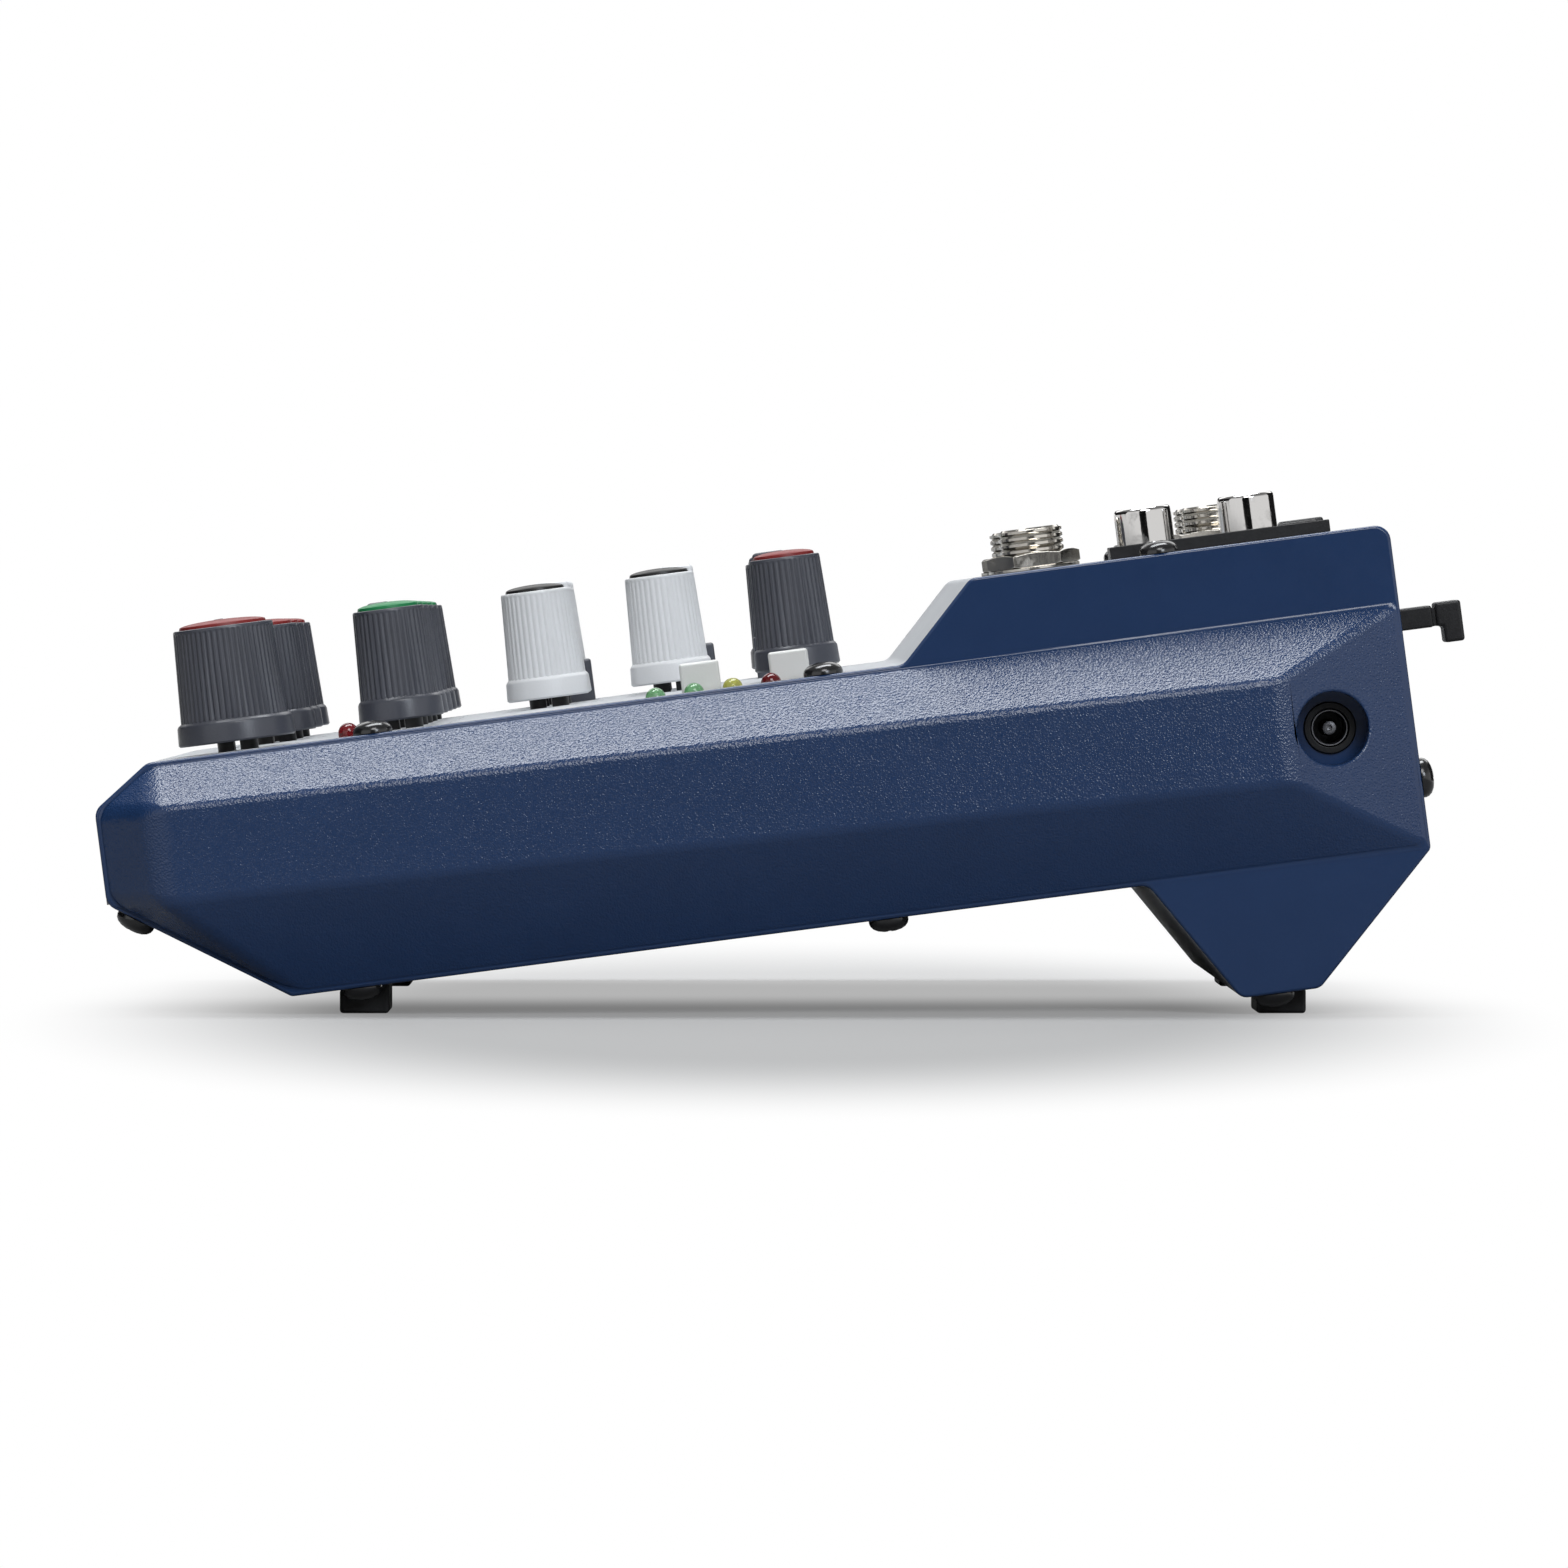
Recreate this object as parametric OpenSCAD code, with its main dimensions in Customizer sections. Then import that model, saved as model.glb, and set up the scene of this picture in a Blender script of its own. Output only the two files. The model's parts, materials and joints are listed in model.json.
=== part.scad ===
// Compact desk mixing console, in millimetres: +X to the user's right, +Y to the rear, +Z up.
// The origin is on the table, under the middle of the console's box.
// Most modules are drawn in the case's own frame: x from the centre line, y back from the
// front face, z up from the flat base. tilted() leans that frame back and stands it on its feet.

/* [Case] */
// Width between the outer faces of the two cheek plates
case_w = 160; // [158:0.5:190]
// Length of the control panel, from the front face to the rise
panel_len = 119.1; // [117:0.1:140]
// Depth of the rise between the control panel and the socket deck
rise_run = 11.2; // [8:0.1:14]
// Length of the socket deck, from the rise to the rear face
deck_len = 61.2; // [60:0.1:75]
// Height of the control panel above the base
panel_h = 36.3; // [35:0.1:44]
// Height of the socket deck above the control panel
deck_rise = 11.2; // [9:0.1:14]
// Height of the front face's lower edge
front_low = 16.6; // [14:0.1:18]
// Height of the chamfer above the front face
chamfer_h = 5.9; // [4:0.1:8]
// Depth of that chamfer
chamfer_d = 8.4; // [5:0.1:10]
// Distance from the front face back to the flat base
base_front = 24.9; // [20:0.1:26]
// Thickness of the sheet metal
sheet_t = 1; // [0.8:0.1:1.2]
// Outer radius of the sheet's bends
bend_r = 2.2; // [1.6:0.1:3]
// Height of the seam across the rear face
rear_seam = 4; // [2:0.1:5]
// Gap left along each seam
seam_gap = 0.3; // [0.2:0.1:0.6]
// Distance along the front bevel between the base pan and the front face
front_seam = 2; // [1.8:0.1:3]

/* [Stand] */
// Angle at which the case leans back
tilt = 7.4; // [6:0.1:9]
// Gap between the case's lowest corner and the table
stand_gap = 2.4; // [2.2:0.1:4]
// Depth of the rear leg below the base
leg_drop = 18; // [16:0.1:20]
// Depth of the leg's front slope
leg_front_run = 11.3; // [8:0.1:14]
// Length of the leg's flat bottom
leg_flat = 11.6; // [10:0.1:14]
// Depth of the leg's rear slope
leg_back_run = 18.5; // [15:0.1:22]
// Length of a foot, front to back
foot_len = 7.2; // [6:0.1:9]
// Width of a foot
foot_w = 18; // [12:0.5:24]
// Distance of a foot from the cheek plate's outer face
foot_edge = 7.5; // [7:0.1:12]
// Distance of the front feet behind the front face
front_foot_y = 31.7; // [30:0.1:40]
// Distance of the rear feet behind the leg's front corner
rear_foot_y = 2.6; // [2:0.1:3.5]

/* [Cheeks] */
// Thickness of the cheek's plate, which closes the side of the case
cheek_plate = 2.5; // [2:0.1:3]
// Height of the faceted relief outside the plate
cheek_relief = 8; // [6:0.1:10]
// Wall thickness of the relief
cheek_wall = 2.2; // [1.8:0.1:2.6]
// Thickness of the cheek's lip, which covers the ends of the sheets
cheek_lip = 0.8; // [0.6:0.1:0.9]
// Clearance between the cheek and the sheet metal
cheek_gap = 0.2; // [0.1:0.05:0.3]
// Distance from the front face back to the raised band
band_front = 8.4; // [6:0.1:10]
// Distance from the rear face forward to the raised band
band_rear = 19; // [16:0.1:22]
// Drop from the panel to the band's upper edge, at the front
band_top_front = 6.7; // [6:0.1:8]
// Drop from the panel to the band's upper edge, at the rear
band_top_rear = 9.2; // [8:0.1:11]
// Height of the band's lower edge, at the front
band_low_front = 16; // [14:0.1:17]
// Height of the band's lower edge, at the rear
band_low_rear = 12.2; // [10:0.1:13]

/* [Case screws] */
// Diameter of a pan head
screw_head_d = 5.8; // [5:0.1:6]
// Height of a pan head
screw_head_h = 1.9; // [1.4:0.1:2]
// Diameter of the thread
screw_d = 2.9; // [2.5:0.1:3]
// Length of the thread
screw_len = 6; // [5:0.1:6.5]
// Distance of the screws from the cheek plate's outer face
screw_edge = 3; // [2.9:0.1:3.2]
// Distance of the panel's screws behind the front face
panel_screw_y = [41.4, 107.4];
// Distance of the deck's screw behind the rise
deck_screw_y = 27.7; // [26:0.1:30]
// Height of the rear face's screw
rear_screw_z = 10.3; // [9.5:0.1:12]
// Distance of the leg's screw behind the leg's front corner
leg_screw_y = 5; // [4.5:0.1:6]
// Distance of the base's front screw behind the front bevel
base_screw_y = 10.2; // [9:0.1:12]
// Distance of the base's rear screw ahead of the leg
base_screw_rear = 37.9; // [30:0.1:45]
// Place of the front bevel's screw, as a part of the way up the bevel
bevel_screw_at = 0.8; // [0.7:0.05:0.8]
// Diameter of a cheek's screw lug
lug_d = 6.4; // [5.8:0.1:6.6]
// Depth of a lug below the sheet
lug_depth = 7; // [6.8:0.1:8]

/* [Channel knobs] */
// Diameter of the skirt
skirt_d = 12.6; // [11:0.1:13]
// Height of the skirt
skirt_h = 3.4; // [2:0.1:5]
// Diameter of the grip, at the skirt
grip_low_d = 11.4; // [10.8:0.1:11.8]
// Diameter of the grip, at the top
grip_top_d = 10.4; // [10:0.1:11]
// Height of the knob without its cap
knob_h = 16.4; // [14:0.1:20]
// Diameter of the coloured cap
cap_d = 9.1; // [8:0.1:9.4]

/* [Main level knob] */
// Diameter of the main knob's skirt
main_skirt_d = 17.3; // [15:0.1:19]
// Diameter of the main knob's grip, at the skirt
main_low_d = 15.7; // [14:0.1:16]
// Diameter of the main knob's grip, at the top
main_top_d = 14.6; // [13.8:0.1:15]
// Height of the main knob without its cap
main_h = 17; // [14:0.1:20]
// Diameter of the main knob's cap
main_cap_d = 13; // [11:0.1:13.4]

/* [Every knob] */
// Gap between the panel and a knob
knob_gap = 1.4; // [0.8:0.1:2]
// Height of a cap above the knob's rim
cap_rise = 1.2; // [0.6:0.1:1.6]
// Depth of the cap's seat in the knob
cap_seat = 0.8; // [0.6:0.1:1.4]
// Width of the pointer ridge
pointer_w = 1.4; // [1:0.1:2]
// Diameter of a potentiometer shaft
shaft_d = 6; // [5:0.1:6.2]
// Width of the gap round a shaft in the panel
shaft_gap = 0.7; // [0.5:0.1:1]
// Running clearance of a shaft in its bushing
run_gap = 0.05; // [0.03:0.01:0.08]
// Height of a shaft's lower end above the control board
shaft_seat = 2; // [1:0.1:3]
// Turn of a control from one end to the other
knob_turn = 300; // [270:5:300]
// Angle at which the send controls are set, left of straight to the rear
send_angle = 124; // [0:1:150]
// Angle at which the main level control is set
main_angle = 100; // [0:1:150]

/* [Control layout] */
// Number of columns of controls
columns = 5; // [5:5]
// Distance of the left column from the left cheek plate's outer face
left_column_edge = 14; // [13:0.5:16]
// Distance of the right column from the right cheek plate's outer face
right_column_edge = 22; // [21.5:0.1:24]
// Distance of the level row behind the front face
level_y = 24.5; // [23:0.1:25]
// Distance of the main level knob behind the front face
main_y = 21; // [19:0.1:22]
// Distance of the send row behind the front face
send_y = 45.4; // [45:0.1:47]
// Distance of the low tone row behind the front face
low_y = 66.3; // [65:0.1:67]
// Distance of the high tone row behind the front face
high_y = 85.3; // [84.5:0.1:86]
// Distance of the gain row behind the front face
gain_y = 104; // [103:0.1:104]

/* [Buttons and lights] */
// Side of a square button
button_w = 5.8; // [5:0.1:6]
// Height of the white buttons above the panel
white_proud = 4.2; // [3:0.1:6]
// Height of the dark buttons above the panel
dark_proud = 6.5; // [4:0.1:8]
// Travel of a button
button_travel = 2; // [1:0.1:2.4]
// Clearance of a button in the panel
button_gap = 0.3; // [0.2:0.05:0.5]
// Distance of the white buttons from the cheek plate's outer face
white_edge = 12.4; // [12:0.1:12.6]
// Distance of the phones button behind the front face
phones_y = 89.6; // [89:0.1:90]
// Distance of the monitor button behind the front face
monitor_y = 102.7; // [102:0.1:103.5]
// Distance of the mute button behind the front face
mute_y = 70; // [68:0.1:72]
// Distance of the filter button behind the front face
filter_y = 89.3; // [87:0.1:90]
// Distance of the boost button behind the front face
boost_y = 101.3; // [100:0.1:103]
// Diameter of a light
led_d = 3; // [2.8:0.1:3.1]
// Height of a meter light above the panel
led_proud = 1.3; // [1:0.1:2.5]
// Height of the power light above the panel
power_led_proud = 2; // [1:0.1:2.5]
// Diameter of a light's flange under the panel
led_flange_d = 3.5; // [3.3:0.1:3.8]
// Depth of the flange below the sheet
led_flange_low = 3; // [1.5:0.1:4]
// Width of a light's lead
led_lead = 0.5; // [0.4:0.05:0.6]
// Spacing of the two leads
led_lead_pitch = 1.28; // [1.27:0.01:1.8]
// Distance of the lights from the cheek plate's outer face
led_edge = 6.6; // [6.4:0.1:6.8]
// Distance of the first meter light behind the front face
led_y = 82.8; // [80:0.1:84]
// Spacing of the meter lights
led_pitch = 5.65; // [4:0.05:6]
// Distance of the power light behind the front face
power_led_y = 37.8; // [36:0.1:37.8]

/* [Socket deck] */
// Diameter of a jack's threaded collar
collar_d = 9.5; // [9:0.1:10]
// Height of the collar above the deck
collar_h = 6.2; // [5:0.1:7]
// Diameter of the hole for a 6.35 mm plug
plug_d = 6.5; // [6.4:0.05:6.6]
// Depth of that hole
plug_depth = 31; // [30:0.5:34]
// Width across the flats of a jack's nut
nut_af = 12; // [11.6:0.1:13]
// Height of the nut
nut_h = 2; // [1.5:0.1:2.4]
// Diameter of the washer
washer_d = 13.4; // [13:0.1:13.6]
// Thickness of the washer
washer_t = 0.5; // [0.3:0.1:0.8]
// Width of a jack's body
jack_w = 13; // [12:0.5:14]
// Length of a jack's body
jack_len = 15; // [13:0.5:15.5]
// Distance of the front jacks behind the rise
front_jack_y = 10; // [9:0.1:10.4]
// Distance of the rear jacks behind the rise
rear_jack_y = 37.9; // [36:0.1:40]
// Distance of each front jack from the cheek plate's outer face
front_jack_edge = [22, 72];
// Distance of each rear jack from the cheek plate's outer face
rear_jack_edge = [47, 72];
// Outer diameter of a phono sleeve
phono_d = 8.4; // [8.2:0.05:8.5]
// Wall of a phono sleeve
phono_wall = 0.6; // [0.5:0.05:0.8]
// Gap between a phono sleeve and its black insert
phono_slot = 0.6; // [0.4:0.1:0.8]
// Height of a phono sleeve above the deck
phono_h = 7; // [6:0.1:8]
// Distance of the phono pair from the cheek plate's outer face
phono_edge = 15; // [14:0.1:16]
// Distance of the first phono socket behind the rise
phono_y = 26.5; // [26.2:0.1:28]
// Spacing of the phono sockets
phono_pitch = 15.2; // [14:0.1:16]
// Distance from a sleeve's middle to the nearer end of the phono block
phono_end = 5.6; // [5.5:0.1:9]
// Length of the flange behind the block
phono_ear = 5.9; // [4:0.1:7]
// Diameter of the hole for a phono plug's pin
phono_hole_d = 3.2; // [3:0.1:3.4]
// Depth of that hole below the deck
phono_hole_depth = 8; // [6:0.5:10]
// Width of the phono block
phono_w = 11; // [10:0.1:12]
// Thickness of the phono block's flange on the deck
phono_flange = 1.8; // [1.2:0.1:2.2]

/* [Combination socket] */
// Width of the flange
combo_w = 26; // [25.5:0.1:27]
// Length of the flange
combo_len = 31; // [30:0.1:32]
// Thickness of the flange
combo_flange = 2.2; // [1.8:0.1:3]
// Diameter of the body below the flange
combo_d = 23.6; // [23:0.1:24]
// Depth of the body below the deck
combo_depth = 26; // [24:0.5:30]
// Diameter of the mouth for a three-pin plug
combo_mouth_d = 19.2; // [19:0.1:19.4]
// Depth of that mouth
combo_mouth_depth = 14; // [12:0.5:16]
// Diameter of the core inside the mouth
combo_core_d = 15.8; // [15:0.1:16]
// Distance of the socket from the left cheek plate's outer face
combo_edge = 25; // [24:0.5:28]
// Distance of the socket behind the rise
combo_y = 41.7; // [40:0.1:43]
// Corner radius of the flange
combo_corner = 2; // [1:0.1:3]
// Thickness of the shell's floor
combo_floor = 2; // [1.5:0.1:3]
// Depth of the core's face below the flange's face
core_low = 1; // [0.5:0.1:2]
// Thickness of the core's floor
core_floor = 1.6; // [1:0.1:2]
// Distance of the three contact holes from the middle
contact_r = 5.6; // [5.5:0.05:5.8]
// Diameter of a contact hole
contact_d = 2.8; // [2.4:0.1:3]
// Width of the release tab
latch_w = 8; // [6:0.5:10]
// Thickness of the release tab
latch_t = 1.4; // [1.4:0.1:1.9]
// Height of the tab above the flange
latch_proud = 0.3; // [0.2:0.1:1]
// Length of the tab past the flange
latch_reach = 1.5; // [1:0.1:3]
// Width of the tab's guide
guide_w = 4.4; // [3.5:0.1:5]
// Thickness of the tab's guide
guide_t = 1; // [0.8:0.1:1.1]
// Depth of the guide below the deck
guide_depth = 5; // [4:0.5:6]
// Travel of the release tab
latch_travel = 0.9; // [0.8:0.1:1.4]

/* [Power inlet and cable hook] */
// Diameter of the recess in the right cheek
recess_d = 10.6; // [10:0.1:11]
// Distance of the inlet from the rear face
inlet_rear = 12.1; // [11.5:0.1:13]
// Height of the inlet above the base
inlet_z = 19.2; // [18.5:0.1:20]
// Distance of the inlet's face from the cheek plate's outer face
inlet_depth = 4.5; // [3.5:0.1:6]
// Diameter of the inlet's collar
inlet_collar_d = 7.5; // [7:0.1:8]
// Diameter of the inlet's bore
inlet_bore_d = 5.6; // [5.5:0.05:5.8]
// Diameter of the inlet's pin
inlet_pin_d = 2.1; // [1.3:0.1:2.5]
// Width and length of the inlet's body
inlet_body_w = 10.8; // [10:0.1:11]
inlet_body_len = 11.5; // [11:0.1:13]
// Height of the collar on the inlet's body
inlet_collar_h = 1; // [0.5:0.1:1.5]
// Depth of the bore below the inlet's face
inlet_bore_depth = 9; // [8.5:0.1:9.5]
// Depth of the pin's seat below the bore
pin_seat = 1; // [0.5:0.1:1.2]
// Distance of the pin's end below the inlet's face
pin_short = 0.5; // [0.2:0.1:1]
// Thickness and edge of the hook's plate inside the rear face
hook_plate = 1.6; // [1.2:0.1:2]
hook_plate_edge = 2; // [1.5:0.1:3]
// Length of the cable hook behind the rear face
hook_len = 9.7; // [9:0.1:12]
// Thickness of the hook's arm
hook_arm = 3.5; // [3:0.1:4.5]
// Length of the hook's turned-down tip
hook_tip = 2.9; // [2.5:0.1:3.5]
// Height of the tip
hook_drop = 6; // [5.5:0.1:8]
// Width of the hook
hook_w = 8; // [6:0.1:12]
// Height of the hook's top above the base
hook_z = 35.2; // [33:0.1:38]
// Distance of the hook from the cheek plate's outer face
hook_edge = 18; // [16:0.5:60]

/* [Circuit boards] */
// Thickness of a circuit board
board_t = 1.6; // [1.2:0.1:2]
// Height of the control board's upper face above the base
control_board_z = 25; // [24.5:0.1:26]
// Height of the jack board's upper face above the base
jack_board_z = 13.7; // [13:0.1:14]
// Gap between a board and the cheek plates
board_gap = 1.1; // [1:0.1:2]
// Distance from the front face back to the control board
board_front = 6; // [5.5:0.1:7]
// Distance from the rise forward to the control board, and back to the jack board
board_rise = 5; // [4:0.1:6]
// Distance from the rear face forward to the jack board
board_rear = 8.5; // [7.8:0.1:9]
// Distance from a board's edge to the middle of a spacer
spacer_edge = 3.6; // [3:0.1:4]
// Distance from the jack board's front edge back to its front spacers
front_spacer = 14.4; // [13:0.1:16]
// Distance from the jack board's rear edge forward to its middle spacer
middle_spacer = 28.8; // [26:0.1:31]
// Diameter of a board spacer
spacer_d = 5; // [4:0.1:5.5]
// Height of a potentiometer's body
pot_h = 6.8; // [6:0.1:7]
// Width of a potentiometer's body
pot_w = 9.8; // [9:0.1:10.5]
// Length of a potentiometer's body
pot_len = 11.5; // [11:0.1:12]
// Diameter of a potentiometer's bushing
bushing_d = 7.6; // [7.4:0.1:9]
// Width of a switch body
switch_w = 7.4; // [7:0.1:7.6]
// Height of a switch body
switch_h = 5.4; // [4.6:0.1:5.6]
// Side of the stem under a button
stem_w = 3; // [2.4:0.1:3.4]
// Width of the ribbon cable
ribbon_w = 26; // [15:1:28]
// Thickness of the ribbon cable
ribbon_t = 1; // [0.8:0.1:1.2]
// Bend radius of the ribbon cable
ribbon_bend = 1.5; // [1.2:0.1:2]
// Length the ribbon cable runs straight out of a plug
ribbon_lead = 4; // [3:0.1:4]
// Side of the ribbon cable's plugs
ribbon_plug = 5; // [4:0.1:5]
// Distance from a board's edge to the middle of a plug
plug_edge = 5.5; // [4:0.1:5.5]

/* [Hidden] */
$fn = 48;
half_w = case_w / 2;
sheet_w = case_w - 2 * (cheek_lip + cheek_gap);
deck_h = panel_h + deck_rise;
rise_top = panel_len + rise_run;
case_d = rise_top + deck_len;
front_top = panel_h - chamfer_h;
leg_back = case_d - leg_back_run;
leg_front = leg_back - leg_flat;
leg_start = leg_front - leg_front_run;
combo_x = combo_edge - half_w;
under_panel = panel_h - sheet_t;
under_deck = deck_h - sheet_t;
bend_steps = 4;

// Clearance of a thread in its pilot hole, and of a seated part in its seat
fit_gap = 0.05;
seat_gap = 0.1;

// How far the cheek plate's edge lies inside the sheet's outer face
cheek_rim = sheet_t + seat_gap;

// Each column of controls, and the middle between a column and the next
column_pitch = (case_w - left_column_edge - right_column_edge) / (columns - 1);
column_x = [for (i = [0:columns - 1]) left_column_edge - half_w + i * column_pitch];
function between(i) = (column_x[i] + column_x[i + 1]) / 2;

// Angles at which the controls point, counted from straight to the rear: in the middle, and at their low end
centre_angle = 0;
low_angle = knob_turn / 2;

cheek_colour = "#2c4063";
panel_colour = "#c8cacd";
dark_colour = "#4a4d58";
light_colour = "#cdcfd1";
white = "#dcdcda";
black = "#202124";
red_colour = "#9e3f39";
green_colour = "#2f9a5e";
nickel = "#c9c4b8";
board_colour = "#1e4d35";
ribbon_colour = "#9a9da3";

// Each knob: name, column, row, angle, whether it is the main knob, grip colour, cap colour
KNOBS = [
    for (c = [0:2]) [str("level_", c + 1), column_x[c], level_y, low_angle, false, dark_colour, red_colour],
    for (c = [0:4]) [str("send_", c + 1), column_x[c], send_y, send_angle, false, dark_colour, green_colour],
    for (c = [0:2]) [str("low_", c + 1), column_x[c], low_y, centre_angle, false, light_colour, black],
    for (c = [0:2]) [str("high_", c + 1), column_x[c], high_y, centre_angle, false, light_colour, black],
    for (c = [0, 4]) [str("gain_", c + 1), column_x[c], gain_y, low_angle, false, dark_colour, red_colour],
    ["main_level", column_x[4], main_y, main_angle, true, dark_colour, red_colour]
];

// Each button: name, x, y, height above the panel, colour
BUTTONS = [
    ["phones_button", half_w - white_edge, phones_y, white_proud, white],
    ["monitor_button", half_w - white_edge, monitor_y, white_proud, white],
    ["mute_button", between(0), mute_y, dark_proud, dark_colour],
    ["filter_button", between(0), filter_y, dark_proud, dark_colour],
    ["boost_button", between(0), boost_y, dark_proud, dark_colour]
];

// Each light: y, colour, height above the panel
LIGHTS = [
    [power_led_y, "red", power_led_proud],
    [led_y, "lime", led_proud],
    [led_y + led_pitch, "lime", led_proud],
    [led_y + 2 * led_pitch, "yellow", led_proud],
    [led_y + 3 * led_pitch, "red", led_proud]
];

// Each screw of one side: y, z, and the turn about X that faces it outwards
SCREWS = [
    for (y = panel_screw_y) [y, panel_h, 0],
    [rise_top + deck_screw_y, deck_h, 0],
    [case_d, rear_screw_z, -90],
    [leg_front + leg_screw_y, -leg_drop, 180],
    [leg_start - base_screw_rear, 0, 180],
    [base_front + base_screw_y, 0, 180],
    [(1 - bevel_screw_at) * base_front, bevel_screw_at * front_low, 180 - atan2(front_low, base_front)]
];

// Each jack: x and y of its collar
JACKS = [
    for (edge = front_jack_edge) [half_w - edge, rise_top + front_jack_y],
    for (edge = rear_jack_edge) [half_w - edge, rise_top + rear_jack_y]
];

// Each board spacer: x and y
control_rear = panel_len - board_rise;
jack_front = panel_len + board_rise;
jack_rear = case_d - board_rear;
CONTROL_SPACERS = [
    for (i = [0, 2, 3]) [between(i), (level_y + send_y) / 2],
    for (i = [1:3]) [column_x[i], control_rear - spacer_edge]
];
JACK_SPACERS = [
    for (y = [jack_front + front_spacer, jack_rear - spacer_edge]) [combo_x + combo_w + spacer_d, y],
    [(JACKS[0][0] + JACKS[2][0]) / 2, jack_rear - middle_spacer],
    [combo_x - combo_w / 2, jack_front + front_spacer]
];

// Side view of the case, clockwise from the front face's lower edge
case_outline = [
    [0, front_low], [0, front_top], [chamfer_d, panel_h], [panel_len, panel_h],
    [rise_top, deck_h], [case_d, deck_h], [case_d, 0], [leg_back, -leg_drop],
    [leg_front, -leg_drop], [leg_start, 0], [base_front, 0]
];

// Side view of the cheek's relief, and of the raised band on it
relief_outline = [
    [0, front_low], [0, front_top], [chamfer_d, panel_h],
    [case_d, panel_h], [case_d, 0], [base_front, 0]
];
band_outline = [
    [band_front, band_low_front],
    [band_front, panel_h - band_top_front],
    [case_d - band_rear, panel_h - band_top_rear],
    [case_d - band_rear, band_low_rear]
];

// The folded sheets' outer faces, both with the inside of the case on their right
top_path = [
    [0, front_low], [0, front_top], [chamfer_d, panel_h], [panel_len, panel_h],
    [rise_top, deck_h], [case_d, deck_h], [case_d, rear_seam]
];
bevel = unit([0, front_low] - [base_front, 0]);
base_path = [
    [case_d, rear_seam - seam_gap], [case_d, 0], [leg_back, -leg_drop], [leg_front, -leg_drop],
    [leg_start, 0], [base_front, 0], [0, front_low] - front_seam * bevel
];

// Where the tilted case stands: its lowest corner is stand_gap above the table
function tilted_y(p) = p[0] * cos(tilt) - p[1] * sin(tilt);
function tilted_z(p) = p[0] * sin(tilt) + p[1] * cos(tilt);
lift = stand_gap - min([for (p = case_outline) tilted_z(p)]);
front_most = min([for (p = case_outline) tilted_y(p)]);
hook_end = [case_d + hook_len, hook_z];
rear_most = tilted_y(hook_end - [0, hook_drop]);
centre_y = (front_most + rear_most) / 2;

function unit(v) = v / norm(v);

// Points of the arc of radius r that rounds the corner at b
function corner(a, b, c, r) =
    let (
        u = unit(a - b),
        v = unit(c - b),
        half = acos(u * v) / 2
    )
    r == 0 || half > 89.9 ? [b] :
    let (
        centre = b + unit(u + v) * r / sin(half),
        from = b + u * r / tan(half) - centre,
        to = b + v * r / tan(half) - centre,
        start = atan2(from[1], from[0]),
        sweep = atan2(cross(from, to), from * to)
    )
    [for (i = [0:bend_steps]) let (a = start + sweep * i / bend_steps) centre + r * [cos(a), sin(a)]];

function rounded(points, radii) =
    let (n = len(points))
    [for (i = [0:n - 1]) each corner(points[(i + n - 1) % n], points[i], points[(i + 1) % n], radii[i])];

// Right-hand normal of the line from p to q
function normal(p, q) = let (d = unit(q - p)) [d[1], -d[0]];

// The points moved by t to the right of the way they run
function inset(points, t, closed) =
    let (n = len(points))
    [for (i = [0:n - 1])
        let (
            before = closed || i > 0 ? normal(points[(i + n - 1) % n], points[i]) : normal(points[0], points[1]),
            after = closed || i < n - 1 ? normal(points[i], points[(i + 1) % n]) : before
        )
        points[i] + t * (before + after) / (1 + before * after)];

function reversed(points) = [for (i = [len(points) - 1:-1:0]) points[i]];

function even_radii(points, ends) =
    [for (i = [0:len(points) - 1]) i == 0 || i == len(points) - 1 ? ends : bend_r];

module tilted() {
    translate([0, -centre_y, lift]) rotate([tilt, 0, 0]) children();
}

// A side view drawn in y and z, extruded from x by the width w
module across(x, w) {
    translate([x, 0, 0]) rotate([90, 0, 90]) linear_extrude(w) children();
}

module both_sides() {
    children();
    mirror([1, 0, 0]) children();
}

module at_screws() {
    for (s = SCREWS)
        translate([half_w - screw_edge, s[0], s[1]]) rotate([s[2], 0, 0]) children();
}

// ---- Case ----

module sheet(path) {
    outer = rounded(path, even_radii(path, 0));
    across(-sheet_w / 2, sheet_w) polygon(concat(outer, reversed(inset(outer, sheet_t, false))));
}

module screw_holes() {
    both_sides() at_screws()
        translate([0, 0, -2 * sheet_t]) cylinder(h = 3 * sheet_t, d = screw_d + 4 * fit_gap);
}

module top_panel() {
    color(panel_colour) tilted() difference() {
        sheet(top_path);
        screw_holes();
        for (k = KNOBS) panel_hole(k[1], k[2]) circle(d = shaft_d + 2 * shaft_gap);
        for (b = BUTTONS) panel_hole(b[1], b[2]) square(button_w + 2 * button_gap, center = true);
        for (l = LIGHTS) panel_hole(half_w - led_edge, l[0]) circle(d = led_d + 2 * seat_gap);
        for (j = JACKS) deck_hole(j[0], j[1]) circle(d = collar_d + 2 * seat_gap);
        for (y = phono_ys) deck_hole(phono_x, y) circle(d = phono_d + 4 * seat_gap);
        deck_hole(combo_x, rise_top + combo_y) circle(d = combo_d + 2 * seat_gap);
        translate([half_w - hook_edge, case_d, hook_z - hook_arm / 2])
            cube([hook_w + 2 * seat_gap, 3 * sheet_t, hook_arm + 2 * seat_gap], center = true);
    }
}

module panel_hole(x, y) {
    translate([x, y, panel_h - 2 * sheet_t]) linear_extrude(3 * sheet_t) children();
}

module deck_hole(x, y) {
    translate([x, y, deck_h - 2 * sheet_t]) linear_extrude(3 * sheet_t) children();
}

module base_pan() {
    color(panel_colour) tilted() difference() {
        sheet(base_path);
        screw_holes();
    }
}

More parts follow.
